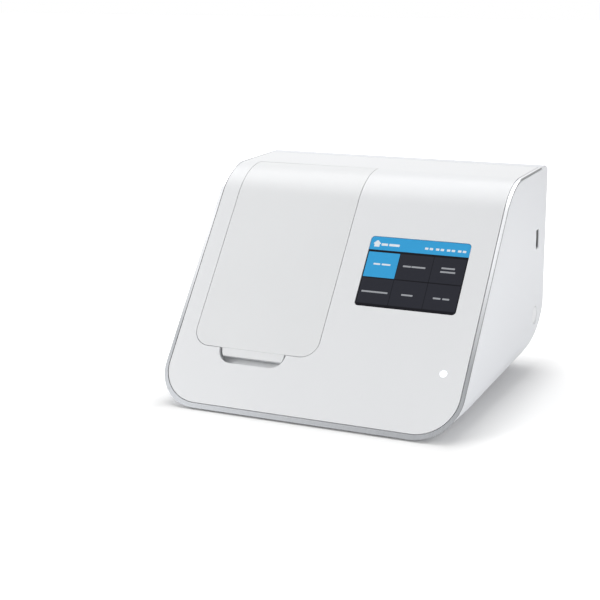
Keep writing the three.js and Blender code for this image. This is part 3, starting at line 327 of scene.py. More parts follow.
def smooth(piece):
    take_up(piece)
    bpy.ops.object.shade_smooth_by_angle(angle=SMOOTH)
    flat_first = piece.modifiers.new("flat_first", "WEIGHTED_NORMAL")
    flat_first.keep_sharp = True
    flat_first.weight = 100
    bpy.ops.object.modifier_apply(modifier=flat_first.name)
    return piece


def bisect_off(piece, place, normal):
    """Cuts away what lies past a plane and closes the cut."""
    open_up(piece, "VERT")
    bpy.ops.mesh.select_all(action="SELECT")
    bpy.ops.mesh.bisect(
        plane_co=Vector(place) * MM, plane_no=normal, use_fill=True, clear_outer=True, clear_inner=False,
    )
    close_up()
    return piece


# The forms that the whole front shares
def bent_slab(name, half_width, outer, inner, foot, rear, middle=0.0, steps=20):
    """A slab that follows the front: up the slope, over the shoulder and back along the top."""
    slab = block(name, (middle - half_width, middle + half_width), (foot, slope_length), (-inner, -outer))
    lay_on_slope(slab)
    open_up(slab)
    pick(slab, "FACE", faces_toward(along_slope))
    bpy.ops.mesh.spin(
        steps=steps, angle=SLOPE - TOP_RISE, center=shoulder_centre * MM, axis=(1, 0, 0),
    )
    run = along_top * (REAR_Y - shoulder_centre.y + WIDTH)
    bpy.ops.mesh.extrude_region_move(TRANSFORM_OT_translate={"value": run * MM})
    bpy.ops.mesh.select_all(action="SELECT")
    bpy.ops.mesh.normals_make_consistent(inside=False)
    close_up()
    return bisect_off(slab, (0, rear, 0), (0, 1, 0))


def footed_prism(name, middle, half_width, foot, top, corner, low, high, steps=16):
    """A prism out of the slope, square at its top and rounded at its two lower corners."""
    prism = block(name, (middle - half_width, middle + half_width), (foot, top), (low, high))
    if corner > 0:
        bevel_edges(prism, runs_along((0, 0, 1), lambda c: c.y < (foot + 0.01) * MM), corner, steps)
    return lay_on_slope(prism)


def lid_prism(name, inset, rear):
    """What lies within the lid's outline, drawn in by inset, as far back as rear."""
    prism = footed_prism(
        name, LID_X, LID_HALF - inset, LID_FOOT + inset, 3 * HEIGHT, LID_CORNER - inset, -WIDTH, WIDTH,
    )
    return bisect_off(prism, (0, rear, 0), (0, 1, 0))


def panel_prism(name, inset):
    return footed_prism(
        name, 0, PANEL_HALF - inset, PANEL_FOOT + inset, 3 * HEIGHT, PANEL_CORNER - inset, -WIDTH, WIDTH, 24,
    )


def rounded_block(name, middle, size, corner, z, steps=8):
    """An upright block with its four standing edges rounded."""
    x, y = middle
    wide, long = size
    piece = block(name, (x - wide / 2, x + wide / 2), (y - long / 2, y + long / 2), z)
    bevel_edges(piece, runs_along((0, 0, 1)), corner, steps)
    return piece


def fall(y, radius, inset):
    """How far a rounded rear edge has dropped at a place on Y."""
    past = max(0.0, y - (REAR_Y - radius))
    reach = radius - inset
    return reach - math.sqrt(max(0.0, reach * reach - past * past))


def top_at(y, inset):
    """The height of the case's top, which rises to the rear and rounds over there."""
    rise = top_end.z + (y - top_end.y) * math.tan(TOP_RISE) - inset / math.cos(TOP_RISE)
    return min(rise, HEIGHT - inset - fall(y, REAR_TOP, inset))


def case_form(name, inset):
    """The case's outer form, drawn in by inset: one rounded section, extruded to the rear and
    drawn in step by step, so that sides, floor and top flow into the rear."""
    half = WIDTH / 2 - inset
    low = STANDOFF + inset
    start = FRONT_Y - 2
    high = top_at(start, inset)
    corner_x = LOWER_CORNER - inset
    corner_z = LOWER_CORNER * math.sin(SLOPE) - inset
    squash = corner_z / corner_x
    tall = (high - low) / squash
    put_down()
    bpy.ops.mesh.primitive_plane_add(
        size=1, location=(0, start * MM, (low + tall / 2) * MM), rotation=(math.pi / 2, 0, 0),
    )
    form = bpy.context.active_object
    form.name = name
    form.scale = (2 * half * MM, tall * MM, 1)
    settle(form)
    open_up(form, "VERT")
    pick(form, "VERT", lambda v: v.co.z < (low + 1) * MM)
    bpy.ops.mesh.bevel(offset=corner_x * MM, segments=14, affect="VERTICES", clamp_overlap=False)
    bpy.ops.mesh.select_all(action="SELECT")
    bpy.ops.transform.resize(value=(1, 1, squash), center_override=(0, start * MM, low * MM))
    pick(form, "VERT", lambda v: v.co.z > (high - 0.01) * MM)
    bpy.ops.mesh.bevel(offset=1.0 * MM, segments=4, affect="VERTICES", clamp_overlap=False)
    bpy.ops.mesh.select_all(action="SELECT")
    state = {"y": start, "half": half, "low": low, "high": high, "x": corner_x, "z": corner_z}

    def draw_back(y, half_now, low_now, high_now, x_now, z_now):
        """Extrudes the last section to y, fits it to its new size and reshapes its corners."""
        bpy.ops.mesh.extrude_region_move(
            TRANSFORM_OT_translate={"value": (0, (y - state["y"]) * MM, (low_now - state["low"]) * MM)},
        )
        ratio_x = half_now / state["half"]
        ratio_z = (high_now - low_now) / (state["high"] - state["low"])
        if abs(ratio_x - 1) + abs(ratio_z - 1) > 1e-6:
            bpy.ops.transform.resize(
                value=(ratio_x, 1, ratio_z), center_override=(0, y * MM, low_now * MM),
            )
        held_x = state["x"] * ratio_x
        held_z = state["z"] * ratio_z
        if abs(x_now - held_x) + abs(z_now - held_z) > 1e-4:
            for side in (-1, 1):
                pick(form, "VERT", lambda v: (
                    abs(v.co.y - y * MM) < 1e-6
                    and v.co.x * side > (half_now - held_x) * MM - 1e-6
                    and v.co.z < (low_now + held_z) * MM + 1e-6
                ))
                bpy.ops.transform.resize(
                    value=(x_now / held_x, 1, z_now / held_z),
                    center_override=(side * half_now * MM, y * MM, low_now * MM),
                )
            pick(form, "VERT", lambda v: abs(v.co.y - y * MM) < 1e-6)
            bpy.ops.mesh.select_mode(type="FACE")
        state.update(y=y, half=half_now, low=low_now, high=high_now, x=x_now, z=z_now)

    draw_back(FRONT_Y + GROWTH_START, half, low, top_at(FRONT_Y + GROWTH_START, inset), corner_x, corner_z)
    grown_x = corner_x + CORNER_GROWTH
    grown_z = corner_z + CORNER_GROWTH
    start_round = REAR_Y - REAR_FOOT
    draw_back(start_round, half, low, top_at(start_round, inset), grown_x, grown_z)
    steps = 18
    for step in range(1, steps + 1):
        y = start_round + (REAR_FOOT - inset) * math.sin(math.pi / 2 * step / steps)
        draw_back(
            y, half - fall(y, REAR_CORNER, inset), low + fall(y, REAR_FOOT, inset),
            top_at(y, inset), grown_x, grown_z,
        )
    bpy.ops.mesh.select_all(action="SELECT")
    bpy.ops.mesh.normals_make_consistent(inside=False)
    close_up()
    return form


# Shared effects of the finishes, each a group placed in the materials that use it
def new_group(name, inputs, outputs):
    group = bpy.data.node_groups.new(name, "ShaderNodeTree")
    for label, kind, value in inputs:
        socket = group.interface.new_socket(label, in_out="INPUT", socket_type=kind)
        if value is not None:
            socket.default_value = value
    for label, kind in outputs:
        group.interface.new_socket(label, in_out="OUTPUT", socket_type=kind)
    return group, group.nodes.new("NodeGroupInput"), group.nodes.new("NodeGroupOutput")


def wire(tree, start, end):
    tree.links.new(start, end)


def math_node(tree, way, first, second=None, third=None):
    node = tree.nodes.new("ShaderNodeMath")
    node.operation = way
    for index, value in enumerate((first, second, third)):
        if value is None:
            continue
        if isinstance(value, (int, float)):
            node.inputs[index].default_value = value
        else:
            wire(tree, value, node.inputs[index])
    return node.outputs[0]


def mix_colours(tree, share, first, second):
    node = tree.nodes.new("ShaderNodeMix")
    node.data_type = "RGBA"
    for socket, value in zip((node.inputs[0], node.inputs[6], node.inputs[7]), (share, first, second)):
        if isinstance(value, (int, float)):
            socket.default_value = value
        elif isinstance(value, tuple):
            socket.default_value = (*value[:3], 1)
        else:
            wire(tree, value, socket)
    return node.outputs[2]


def spread(tree, value, before, after):
    """Carries a value from one range over to another one, and holds it at the ends."""
    node = tree.nodes.new("ShaderNodeMapRange")
    for label, number in zip(("From Min", "From Max", "To Min", "To Max"), (*before, *after)):
        node.inputs[label].default_value = number
    wire(tree, value, node.inputs["Value"])
    return node.outputs[0]


def moulded_grain():
    """The fine spark-eroded grain of a moulded case: a slight drift of tone and gloss, and bumps."""
    group, entry, leave = new_group(
        "moulded_grain",
        [
            ("Colour", "NodeSocketColor", (0.8, 0.8, 0.8, 1)), ("Drift", "NodeSocketFloat", 0.02),
            ("Roughness", "NodeSocketFloat", 0.4), ("Spread", "NodeSocketFloat", 0.05),
            ("Grain", "NodeSocketFloat", 2500.0), ("Height", "NodeSocketFloat", 0.05),
        ],
        [("Colour", "NodeSocketColor"), ("Roughness", "NodeSocketFloat"), ("Normal", "NodeSocketVector")],
    )
    place = group.nodes.new("ShaderNodeTexCoord")
    broad = group.nodes.new("ShaderNodeTexNoise")
    broad.inputs["Scale"].default_value = 14
    broad.inputs["Detail"].default_value = 3
    wire(group, place.outputs["Object"], broad.inputs["Vector"])
    fine = group.nodes.new("ShaderNodeTexNoise")
    fine.inputs["Detail"].default_value = 2
    wire(group, place.outputs["Object"], fine.inputs["Vector"])
    wire(group, entry.outputs["Grain"], fine.inputs["Scale"])
    centred = math_node(group, "SUBTRACT", broad.outputs["Fac"], 0.5)
    tone = math_node(group, "MULTIPLY_ADD", centred, entry.outputs["Drift"], 1.0)
    scale = group.nodes.new("ShaderNodeVectorMath")
    scale.operation = "SCALE"
    wire(group, entry.outputs["Colour"], scale.inputs[0])
    wire(group, tone, scale.inputs["Scale"])
    wire(group, scale.outputs[0], leave.inputs["Colour"])
    gloss = math_node(group, "MULTIPLY_ADD", centred, entry.outputs["Spread"], entry.outputs["Roughness"])
    wire(group, gloss, leave.inputs["Roughness"])
    bump = group.nodes.new("ShaderNodeBump")
    bump.inputs["Distance"].default_value = 0.00005
    wire(group, entry.outputs["Height"], bump.inputs["Strength"])
    wire(group, fine.outputs["Fac"], bump.inputs["Height"])
    wire(group, bump.outputs[0], leave.inputs["Normal"])
    return group


def drawn_lines():
    """The fine lines of brushed or drawn metal, along X, Y or Z as the stretch says."""
    group, entry, leave = new_group(
        "drawn_lines",
        [
            ("Colour", "NodeSocketColor", (0.7, 0.7, 0.7, 1)), ("Roughness", "NodeSocketFloat", 0.3),
            ("Stretch", "NodeSocketVector", (30.0, 2500.0, 2500.0)), ("Height", "NodeSocketFloat", 0.1),
        ],
        [("Colour", "NodeSocketColor"), ("Roughness", "NodeSocketFloat"), ("Normal", "NodeSocketVector")],
    )
    place = group.nodes.new("ShaderNodeTexCoord")
    stretch = group.nodes.new("ShaderNodeVectorMath")
    stretch.operation = "MULTIPLY"
    wire(group, place.outputs["Object"], stretch.inputs[0])
    wire(group, entry.outputs["Stretch"], stretch.inputs[1])
    lines = group.nodes.new("ShaderNodeTexNoise")
    lines.inputs["Scale"].default_value = 1
    lines.inputs["Detail"].default_value = 2
    wire(group, stretch.outputs[0], lines.inputs["Vector"])
    centred = math_node(group, "SUBTRACT", lines.outputs["Fac"], 0.5)
    tone = math_node(group, "MULTIPLY_ADD", centred, 0.16, 1.0)
    scale = group.nodes.new("ShaderNodeVectorMath")
    scale.operation = "SCALE"
    wire(group, entry.outputs["Colour"], scale.inputs[0])
    wire(group, tone, scale.inputs["Scale"])
    wire(group, scale.outputs[0], leave.inputs["Colour"])
    wire(group, math_node(group, "MULTIPLY_ADD", centred, 0.2, entry.outputs["Roughness"]), leave.inputs["Roughness"])
    bump = group.nodes.new("ShaderNodeBump")
    bump.inputs["Distance"].default_value = 0.00003
    wire(group, entry.outputs["Height"], bump.inputs["Strength"])
    wire(group, lines.outputs["Fac"], bump.inputs["Height"])
    wire(group, bump.outputs[0], leave.inputs["Normal"])
    return group


def panel_field():
    """A soft-edged rounded rectangle on the screen, from places measured on the slope."""
    group, entry, leave = new_group(
        "panel_field",
        [
            ("Place", "NodeSocketVector", None), ("Middle X", "NodeSocketFloat", 0.0),
            ("Middle Y", "NodeSocketFloat", 0.0), ("Half X", "NodeSocketFloat", 1.0),
            ("Half Y", "NodeSocketFloat", 1.0), ("Corner", "NodeSocketFloat", 0.1),
        ],
        [("Mask", "NodeSocketFloat")],
    )
    parts = group.nodes.new("ShaderNodeSeparateXYZ")
    wire(group, entry.outputs["Place"], parts.inputs[0])
    reach = []
    for axis, middle, half in (("X", "Middle X", "Half X"), ("Y", "Middle Y", "Half Y")):
        off = math_node(group, "ABSOLUTE", math_node(group, "SUBTRACT", parts.outputs[axis], entry.outputs[middle]))
        inner = math_node(group, "SUBTRACT", entry.outputs[half], entry.outputs["Corner"])
        reach.append(math_node(group, "MAXIMUM", math_node(group, "SUBTRACT", off, inner), 0.0))
    square = math_node(group, "MULTIPLY_ADD", reach[0], reach[0], math_node(group, "MULTIPLY", reach[1], reach[1]))
    past = math_node(group, "SUBTRACT", math_node(group, "SQRT", square), entry.outputs["Corner"])
    edge = math_node(group, "MULTIPLY_ADD", past, -8.0, 0.5)
    inside = group.nodes.new("ShaderNodeClamp")
    wire(group, edge, inside.inputs[0])
    wire(group, inside.outputs[0], leave.inputs["Mask"])
    return group


GRAIN = moulded_grain()
LINES = drawn_lines()
FIELD = panel_field()


def new_finish(name):
    finish = bpy.data.materials.new(name)
    finish.use_nodes = True
    return finish, finish.node_tree, finish.node_tree.nodes["Principled BSDF"]


def moulding(name, colour, roughness=0.4, drift=0.02, spread=0.05, grain=2500.0, height=0.05, **more):
    """A moulded plastic or rubber finish."""
    finish, tree, shader = new_finish(name)
    node = tree.nodes.new("ShaderNodeGroup")
    node.node_tree = GRAIN
    node.inputs["Colour"].default_value = (*colour, 1)
    values = {"Drift": drift, "Roughness": roughness, "Spread": spread, "Grain": grain, "Height": height}
    for label, value in values.items():
        node.inputs[label].default_value = value
    wire(tree, node.outputs["Colour"], shader.inputs["Base Color"])
    wire(tree, node.outputs["Roughness"], shader.inputs["Roughness"])
    wire(tree, node.outputs["Normal"], shader.inputs["Normal"])
    for label, value in more.items():
        shader.inputs[label.replace("_", " ")].default_value = value
    return finish


def metal(name, colour, roughness=0.3, stretch=(30.0, 2500.0, 2500.0), height=0.1, metallic=1.0):
    """A drawn, rolled or brushed metal finish."""
    finish, tree, shader = new_finish(name)
    node = tree.nodes.new("ShaderNodeGroup")
    node.node_tree = LINES
    node.inputs["Colour"].default_value = (*colour, 1)
    node.inputs["Roughness"].default_value = roughness
    node.inputs["Stretch"].default_value = stretch
    node.inputs["Height"].default_value = height
    wire(tree, node.outputs["Colour"], shader.inputs["Base Color"])
    wire(tree, node.outputs["Roughness"], shader.inputs["Roughness"])
    wire(tree, node.outputs["Normal"], shader.inputs["Normal"])
    shader.inputs["Metallic"].default_value = metallic
    return finish


def satin_band():
    """The band's satin metal, with painted shade: faces that look sideways or down are painted darker than its front
    face, and the whole of it is painted darker toward the foot."""
    finish = metal("band_silver", (0.76, 0.77, 0.79), 0.32, (2500.0, 60.0, 60.0), 0.05)
    tree = finish.node_tree
    # Painted shade: by their normal, faces of the band that look sideways or down take a dark grey.
    look = tree.nodes.new("ShaderNodeSeparateXYZ")
    wire(tree, tree.nodes.new("ShaderNodeNewGeometry").outputs["Normal"], look.inputs[0])
    aside = math_node(tree, "ABSOLUTE", look.outputs["X"])
    down = math_node(tree, "MULTIPLY", look.outputs["Z"], -1.0)
    painted_flank_shade = spread(tree, math_node(tree, "MAXIMUM", aside, down), (0.3, 0.8), (0.0, 1.0))
    place = tree.nodes.new("ShaderNodeSeparateXYZ")
    wire(tree, tree.nodes.new("ShaderNodeTexCoord").outputs["Object"], place.inputs[0])
    # Painted shade: the band's front colour darkens from 100 mm above the floor down to 40 mm.
    height = spread(tree, place.outputs["Z"], (0.04, 0.10), (0.0, 1.0))
    face = mix_colours(tree, height, (0.33, 0.34, 0.355), (0.78, 0.79, 0.81))
    edge = mix_colours(tree, height, (0.18, 0.185, 0.19), (0.17, 0.175, 0.18))
    lines = next(node for node in tree.nodes if node.type == "GROUP")
    wire(tree, mix_colours(tree, painted_flank_shade, face, edge), lines.inputs["Colour"])
    return finish


panel_white = moulding("panel_white", (0.80, 0.81, 0.825), 0.32, height=0.03)
lid_white = moulding("lid_white", (0.78, 0.79, 0.80), 0.34, height=0.03)
shell_white = moulding("shell_white", (0.775, 0.79, 0.82), 0.38, height=0.05, Specular_IOR_Level=0.25)
band_silver = satin_band()
deck_grey = moulding("deck_grey", (0.42, 0.44, 0.46), 0.5, height=0.12)
liner_grey = moulding("liner_grey", (0.5, 0.52, 0.54), 0.5, height=0.12)
base_grey = moulding("base_grey", (0.45, 0.47, 0.49), 0.55, height=0.15)
foot_rubber = moulding("foot_rubber", (0.02, 0.02, 0.021), 0.8, height=0.2)
gasket_rubber = moulding("gasket_rubber", (0.012, 0.012, 0.013), 0.85, height=0.2)
holder_orange = moulding("holder_orange", (0.80, 0.30, 0.06), 0.35, height=0.04)
holder_blue = moulding("holder_blue", (0.16, 0.20, 0.56), 0.35, height=0.04)
black_moulding = moulding("black_moulding", (0.015, 0.015, 0.017), 0.45, height=0.1)
key_white = moulding("key_white", (0.79, 0.80, 0.82), 0.34, height=0.03)
board_green = moulding("board_green", (0.02, 0.13, 0.06), 0.42, drift=0.5, grain=500.0, height=0.1)
block_aluminium = metal("block_aluminium", (0.74, 0.75, 0.76), 0.3, (1800.0, 1800.0, 40.0))
bright_steel = metal("bright_steel", (0.62, 0.63, 0.64), 0.25, (60.0, 2200.0, 2200.0))
sheet_zinc = metal("sheet_zinc", (0.52, 0.54, 0.56), 0.42, (60.0, 60.0, 60.0))
socket_steel = metal("socket_steel", (0.5, 0.51, 0.52), 0.33, (2200.0, 2200.0, 90.0))
contact_gold = metal("contact_gold", (0.78, 0.56, 0.22), 0.25, (900.0, 900.0, 900.0))


def glowing_lens():
    """The status light's milky lens, lit from behind, its tone drifting a little at random."""
    finish, tree, shader = new_finish("light_lens_glow")
    place = tree.nodes.new("ShaderNodeTexCoord")
    noise = tree.nodes.new("ShaderNodeTexNoise")
    noise.inputs["Scale"].default_value = 900
    wire(tree, place.outputs["Object"], noise.inputs["Vector"])
    tone = mix_colours(tree, noise.outputs["Fac"], (0.93, 0.95, 0.97), (0.98, 0.99, 1.0))
    wire(tree, tone, shader.inputs["Base Color"])
    wire(tree, tone, shader.inputs["Emission Color"])
    shader.inputs["Emission Strength"].default_value = 0.5
    shader.inputs["Roughness"].default_value = 0.25
    return finish


def screen_picture():
    """The touch screen: a dark panel with a header bar and a grid of tiles under polished glass."""
    finish, tree, shader = new_finish("screen_picture")
    place = tree.nodes.new("ShaderNodeTexCoord")
    flat = tree.nodes.new("ShaderNodeMapping")
    flat.vector_type = "TEXTURE"
    flat.inputs["Location"].default_value = slope_foot * MM + along_slope * SCREEN_SPAN * MM + Vector((SCREEN_X * MM, 0, 0))
    flat.inputs["Rotation"].default_value = (SLOPE, 0, 0)
    flat.inputs["Scale"].default_value = (MM, MM, MM)
    wire(tree, place.outputs["Object"], flat.inputs["Vector"])

    def field(x, y, wide, long, corner=0.1):
        node = tree.nodes.new("ShaderNodeGroup")
        node.node_tree = FIELD
        wire(tree, flat.outputs[0], node.inputs["Place"])
        for label, value in zip(("Middle X", "Middle Y", "Half X", "Half Y", "Corner"), (x, y, wide / 2, long / 2, corner)):
            node.inputs[label].default_value = value
        return node.outputs[0]

    layers, colour = screen_layers()
    for (x, y, wide, long, corner), tint in layers:
        colour = mix_colours(tree, field(x, y, wide, long, corner), colour, tint)
    wire(tree, colour, shader.inputs["Base Color"])
    wire(tree, colour, shader.inputs["Emission Color"])
    shader.inputs["Emission Strength"].default_value = 0.25
    shader.inputs["Roughness"].default_value = 0.3
    shader.inputs["Specular IOR Level"].default_value = 0.08
    return finish


def screen_layers():
    """What the screen shows, from the back forward, as places in mm from its middle: a header
    with a house and a clock's digits, and six tiles, the first one lit."""
    tile = (0.020, 0.021, 0.028)
    edge = (0.007, 0.007, 0.010)
    blue = (0.035, 0.29, 0.56)
    white = (0.62, 0.66, 0.70)
    pale = (0.28, 0.29, 0.31)
    layers = [((0, 20.2, 68.4, 9.8, 0.1), blue)]
    for row, y in enumerate((4.75, -13.95)):
        for column, x in enumerate((-22.55, 0.0, 22.55)):
            lit = row == 0 and column == 0
            wide = 22.7 if column == 1 else 21.6
            layers.append(((x, y, wide, 17.9, 0.4), blue if lit else tile))
    for y, wide, long in ((18.7, 3.6, 2.4), (19.9, 5.0, 0.7), (20.45, 4.0, 0.6), (20.95, 3.0, 0.6), (21.45, 2.0, 0.6), (21.9, 1.0, 0.5)):
        layers.append(((-29.2, y, wide, long, 0.1), white))
    for x, wide in ((-23.9, 4.4), (-17.2, 7.2)):
        layers.append(((x, 19.4, wide, 1.7, 0.3), white))
    for x in (5.0, 8.2, 12.4, 15.6, 19.8, 23.0, 27.2, 30.4):
        layers.append(((x, 19.1, 2.3, 1.5, 0.3), white))
    lines = (
        (-25.9, 5.2, 4.6), (-19.5, 5.2, 6.0), (-5.2, 5.3, 5.4), (2.6, 5.3, 9.4), (22.4, 6.4, 9.0),
        (22.6, 3.8, 10.0), (-22.6, -14.6, 18.0), (-0.4, -14.7, 7.6), (19.6, -14.8, 5.0), (25.6, -14.8, 4.6),
    )
    for index, (x, y, wide) in enumerate(lines):
        layers.append(((x, y, wide, 1.15, 0.25), white if index < 2 else pale))
    return layers, edge


# Pieces
def stand_in(piece, finish, slot, body, *nodes):
    """Gives a piece its finish, hides the nodes that it stands for and hangs it on the body that it moves with."""
    piece.data.materials.clear()
    piece.data.materials.append(finish)
    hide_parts(*nodes)
    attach(piece, body)
    return piece


def front_cut(name, depth, rear):
    """The space in front of the line that the front seats on."""
    return bent_slab(name, WIDTH, -60, depth, -60, rear, steps=28)


def case_shell():
    """Sides, floor and rear in one moulding, with its vents and the cut-outs of the connectors."""
    shell = case_form("case_shell", 0)
    cut(shell, case_form("case_room", SHELL_WALL))
    cut(shell, front_cut("case_front", LAND_DEPTH, SPLIT_Y + SEAM))
    rebate = bent_slab("case_rebate", PANEL_HALF + SEAM, -2, PANEL_WALL + SEAT, -2, SPLIT_Y + SEAM)
    cut(shell, keep_within(rebate, panel_prism("rebate_limit", -SEAM)))
    seat = PANEL_WALL + SEAT
    lip = bent_slab("case_lip", PANEL_HALF - 2.2, seat, seat + SHELL_WALL, 60, SPLIT_Y + 8)
    bisect_off(lip, (0, SPLIT_Y - 8, 0), (0, -1, 0))
    root = bent_slab("lip_root", PANEL_HALF - 2.3, SHELL_WALL / 2, seat + 1, 60, SPLIT_Y + 7.9)
    bisect_off(root, (0, SPLIT_Y + SEAM + 0.1, 0), (0, -1, 0))
    fuse(shell, root, keep_within(lip, case_form("lip_limit", 0.4)))
    cut(shell, rounded_block("base_hole", (0, -7), (144.6, 136.6), 8.3, (-2, 6), 6))
    for index in range(11):
        x = -44.0 + (index - 5) * 5.0
        slot = block("vent", (x - 1.1, x + 1.1), (REAR_Y - 5, REAR_Y + 2), (46, 68))
        bevel_edges(slot, runs_along((0, 1, 0)), 1.05, 5)
        cut(shell, slot)
    for x, wide, tall in ((14, 10, 11), (36, 16, 14), (58, 13.1, 5.8), (75, 13.1, 5.8)):
        cut(shell, block(
            "port_hole", (x - wide / 2 - SEAT, x + wide / 2 + SEAT), (REAR_Y - 5, REAR_Y + 2),
            (50 - tall / 2 - SEAT, 50 + tall / 2 + SEAT),
        ))
    cut(shell, block(
        "side_hole", (WIDTH / 2 - 5, WIDTH / 2 + 2), (SIDE_Y - 3.2, SIDE_Y + 3.2),
        (SOCKET_Z - 6.85, SOCKET_Z + 6.85),
    ))
    cut(shell, bar("key_hole", "x", (SIDE_Y, KEY_Z), WIDTH / 2 - 5, WIDTH / 2 + 2, KEY_RADIUS + SEAT))
    soften(shell, 0.25, 2)
    return stand_in(shell, shell_white, "shell_plastic", "housing", "rear_housing")


def scoop_prism(name, grow, low, high):
    return footed_prism(
        name, LID_X, SCOOP_HALF + grow, SCOOP_FOOT - grow, SCOOP_TOP + grow, SCOOP_CORNER + grow, low, high,
    )


def slope_bar(name, x, span, low, high, radius, end_radius=None, sides=48):
    return lay_on_slope(bar(name, "z", (x, span), low, high, radius, end_radius, sides))


def front_panel():
    """Slope, shoulder and top in one skin, with the lid's opening and rebate, the finger scoop,
    the screen's window and the light's hole."""
    panel = bent_slab("front_panel", PANEL_HALF, 0, PANEL_WALL, PANEL_FOOT, SPLIT_Y)
    keep_within(panel, panel_prism("panel_outline", 0))
    cut(panel, lid_prism("lid_opening", 0, OPENING_REAR))
    ledge = bent_slab(
        "lid_ledge", LID_HALF + LEDGE_BACK, 0.7, PANEL_WALL + SEAT + LEDGE_WALL, LID_FOOT - LEDGE_BACK, 22.1, LID_X,
    )
    keep_within(ledge, lid_prism("ledge_limit", -LEDGE_BACK, REAR_Y))
    cut(ledge, lid_prism("ledge_hole", LEDGE, REAR_Y))
    room = bent_slab("lid_room", LID_HALF, -3, PANEL_WALL + SEAT, LID_FOOT, OPENING_REAR, LID_X)
    keep_within(room, lid_prism("room_limit", 0, REAR_Y))
    cup = scoop_prism("scoop_cup", SCOOP_WALL, -SCOOP_DEPTH - SCOOP_WALL, -1.3)
    fuse(panel, ledge, cup)
    cut(panel, room, scoop_prism("scoop_hollow", 0, -SCOOP_DEPTH, 3))
    window = block(
        "window", (SCREEN_X - SCREEN_WIDTH / 2, SCREEN_X + SCREEN_WIDTH / 2),
        (SCREEN_SPAN - SCREEN_LENGTH / 2, SCREEN_SPAN + SCREEN_LENGTH / 2), (-6, 3),
    )
    bevel_edges(window, runs_along((0, 0, 1)), SCREEN_CORNER, 8)
    cut(panel, lay_on_slope(window), slope_bar("light_hole", LIGHT_X, LIGHT_SPAN, -6, 3, LIGHT_RADIUS))
    ends = (LID_X - LID_HALF, LID_X + LID_HALF)
    cut(panel, bar("tail_swing", "x", hinge_middle(), *ends, TAIL_SWING, sides=96))
    soften(panel, 0.3, 3)
    return stand_in(panel, panel_white, "white_plastic", "housing", "front_fascia")


def silver_band():
    """The band that outlines the front at both sides and at the foot."""
    band = bent_slab("silver_band", WIDTH / 2 + 2, -0.0, LAND_DEPTH - SEAT, -8, SPLIT_Y)
    keep_within(band, case_form("band_limit", 0))
    cut(band, panel_prism("band_hole", -SEAM))
    soften(band, 0.35, 3)
    return stand_in(band, band_silver, "satin_band", "housing", "trim_band")


def hinge_middle():
    reach = SHOULDER - HINGE_DEPTH
    off = HINGE_Y - shoulder_centre.y
    return HINGE_Y, shoulder_centre.z + math.sqrt(reach * reach - off * off)


def lid_shell():
    """The lid: a bent skin on its hinge barrel, with a tail that closes the hinge's groove and
    turns down into it as the lid opens, and the pull lip at its foot."""
    lid = bent_slab("lid_shell", LID_HALF, 0, PANEL_WALL, LID_FOOT, HINGE_Y + TAIL, LID_X)
    keep_within(lid, lid_prism("lid_outline", SEAM, REAR_Y))
    y, z = hinge_middle()
    half = LID_HALF - SEAM
    fuse(lid, bar("barrel", "x", (y, z), LID_X - half + 0.2, LID_X + half - 0.2, BARREL, sides=64))
    for side in (-1, 1):
        ends = sorted((LID_X + side * LID_HALF, LID_X + side * (LID_HALF - 11)))
        cut(lid, bar("pin_bore", "x", (y, z), ends[0], ends[1], 1.35, sides=32))
    soften(lid, 0.3, 3)
    fuse(lid, pull_lip())
    smooth(lid)
    return stand_in(lid, lid_white, "white_plastic", "lid", "lid_cover")


def lid_deck():
    """The deck, taken from its own solid, its trough behind the hinge widened for the lid's tail."""
    deck = copy_of(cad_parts["well_deck"], "lid_deck")
    tidy_mesh(deck)
    y, z = hinge_middle()
    ends = (LID_X - LID_HALF - DECK_RIM, LID_X + LID_HALF + DECK_RIM)
    wall = bar("trough_wall", "x", (y, z), ends[0] + 0.1, ends[1] - 0.1, TAIL_SWING + TROUGH_WALL, sides=96)
    bisect_off(wall, (0, 0, z), (0, 0, 1))
    bisect_off(wall, (0, y - 1.2, 0), (0, -1, 0))
    room = bar("trough_room", "x", (y, z), ends[0] - 1, ends[1] + 1, TAIL_SWING, sides=96)
    bisect_off(room, (0, y, 0), (0, -1, 0))
    cut(fuse(deck, wall), room)
    smooth(deck)
    return stand_in(deck, deck_grey, "grey_plastic", "housing", "well_deck")


def key_spring():
    """The button's return spring, taken from its own solid, with a mesh of its own."""
    spring = copy_of(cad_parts["button_spring"], "key_spring")
    tidy_mesh(spring)
    smooth(spring)
    stand_in(spring, bright_steel, "steel", "housing", "button_spring")
    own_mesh(spring)
    return spring


def pull_lip():
    """The lip below the lid's edge: a bar bevelled inwards, narrower than the scoop."""
    top = LID_FOOT + SEAM + 1.6
    low = LID_FOOT - 4.6
    lip = block("pull_lip", (LID_X - SCOOP_HALF, LID_X + SCOOP_HALF), (low, top), (-4.3, -0.25))
    open_up(lip, "VERT")
    pick(lip, "VERT", lambda v: v.co.y < (low + 0.1) * MM and v.co.z > -1 * MM)
    bpy.ops.transform.translate(value=(0, 0, -1.65 * MM))
    close_up()
    lay_on_slope(lip)
    limit = footed_prism(
        "lip_limit", LID_X, SCOOP_HALF - 1.5, SCOOP_FOOT + 1.5, SCOOP_TOP + 2, SCOOP_CORNER - 1.5, -SCOOP_DEPTH, 2,
    )
    return soften(keep_within(lip, limit), 0.25, 2)


def touch_glass():
    glass = block(
        "touch_glass", (SCREEN_X - SCREEN_WIDTH / 2 + SEAT, SCREEN_X + SCREEN_WIDTH / 2 - SEAT),
        (SCREEN_SPAN - SCREEN_LENGTH / 2 + SEAT, SCREEN_SPAN + SCREEN_LENGTH / 2 - SEAT), (-2.2, -0.2),
    )
    bevel_edges(glass, runs_along((0, 0, 1)), SCREEN_CORNER - SEAT, 8)
    lay_on_slope(glass)
    soften(glass, 0.15, 2)
    return stand_in(glass, screen_picture(), "black_glass", "housing", "screen_glass")


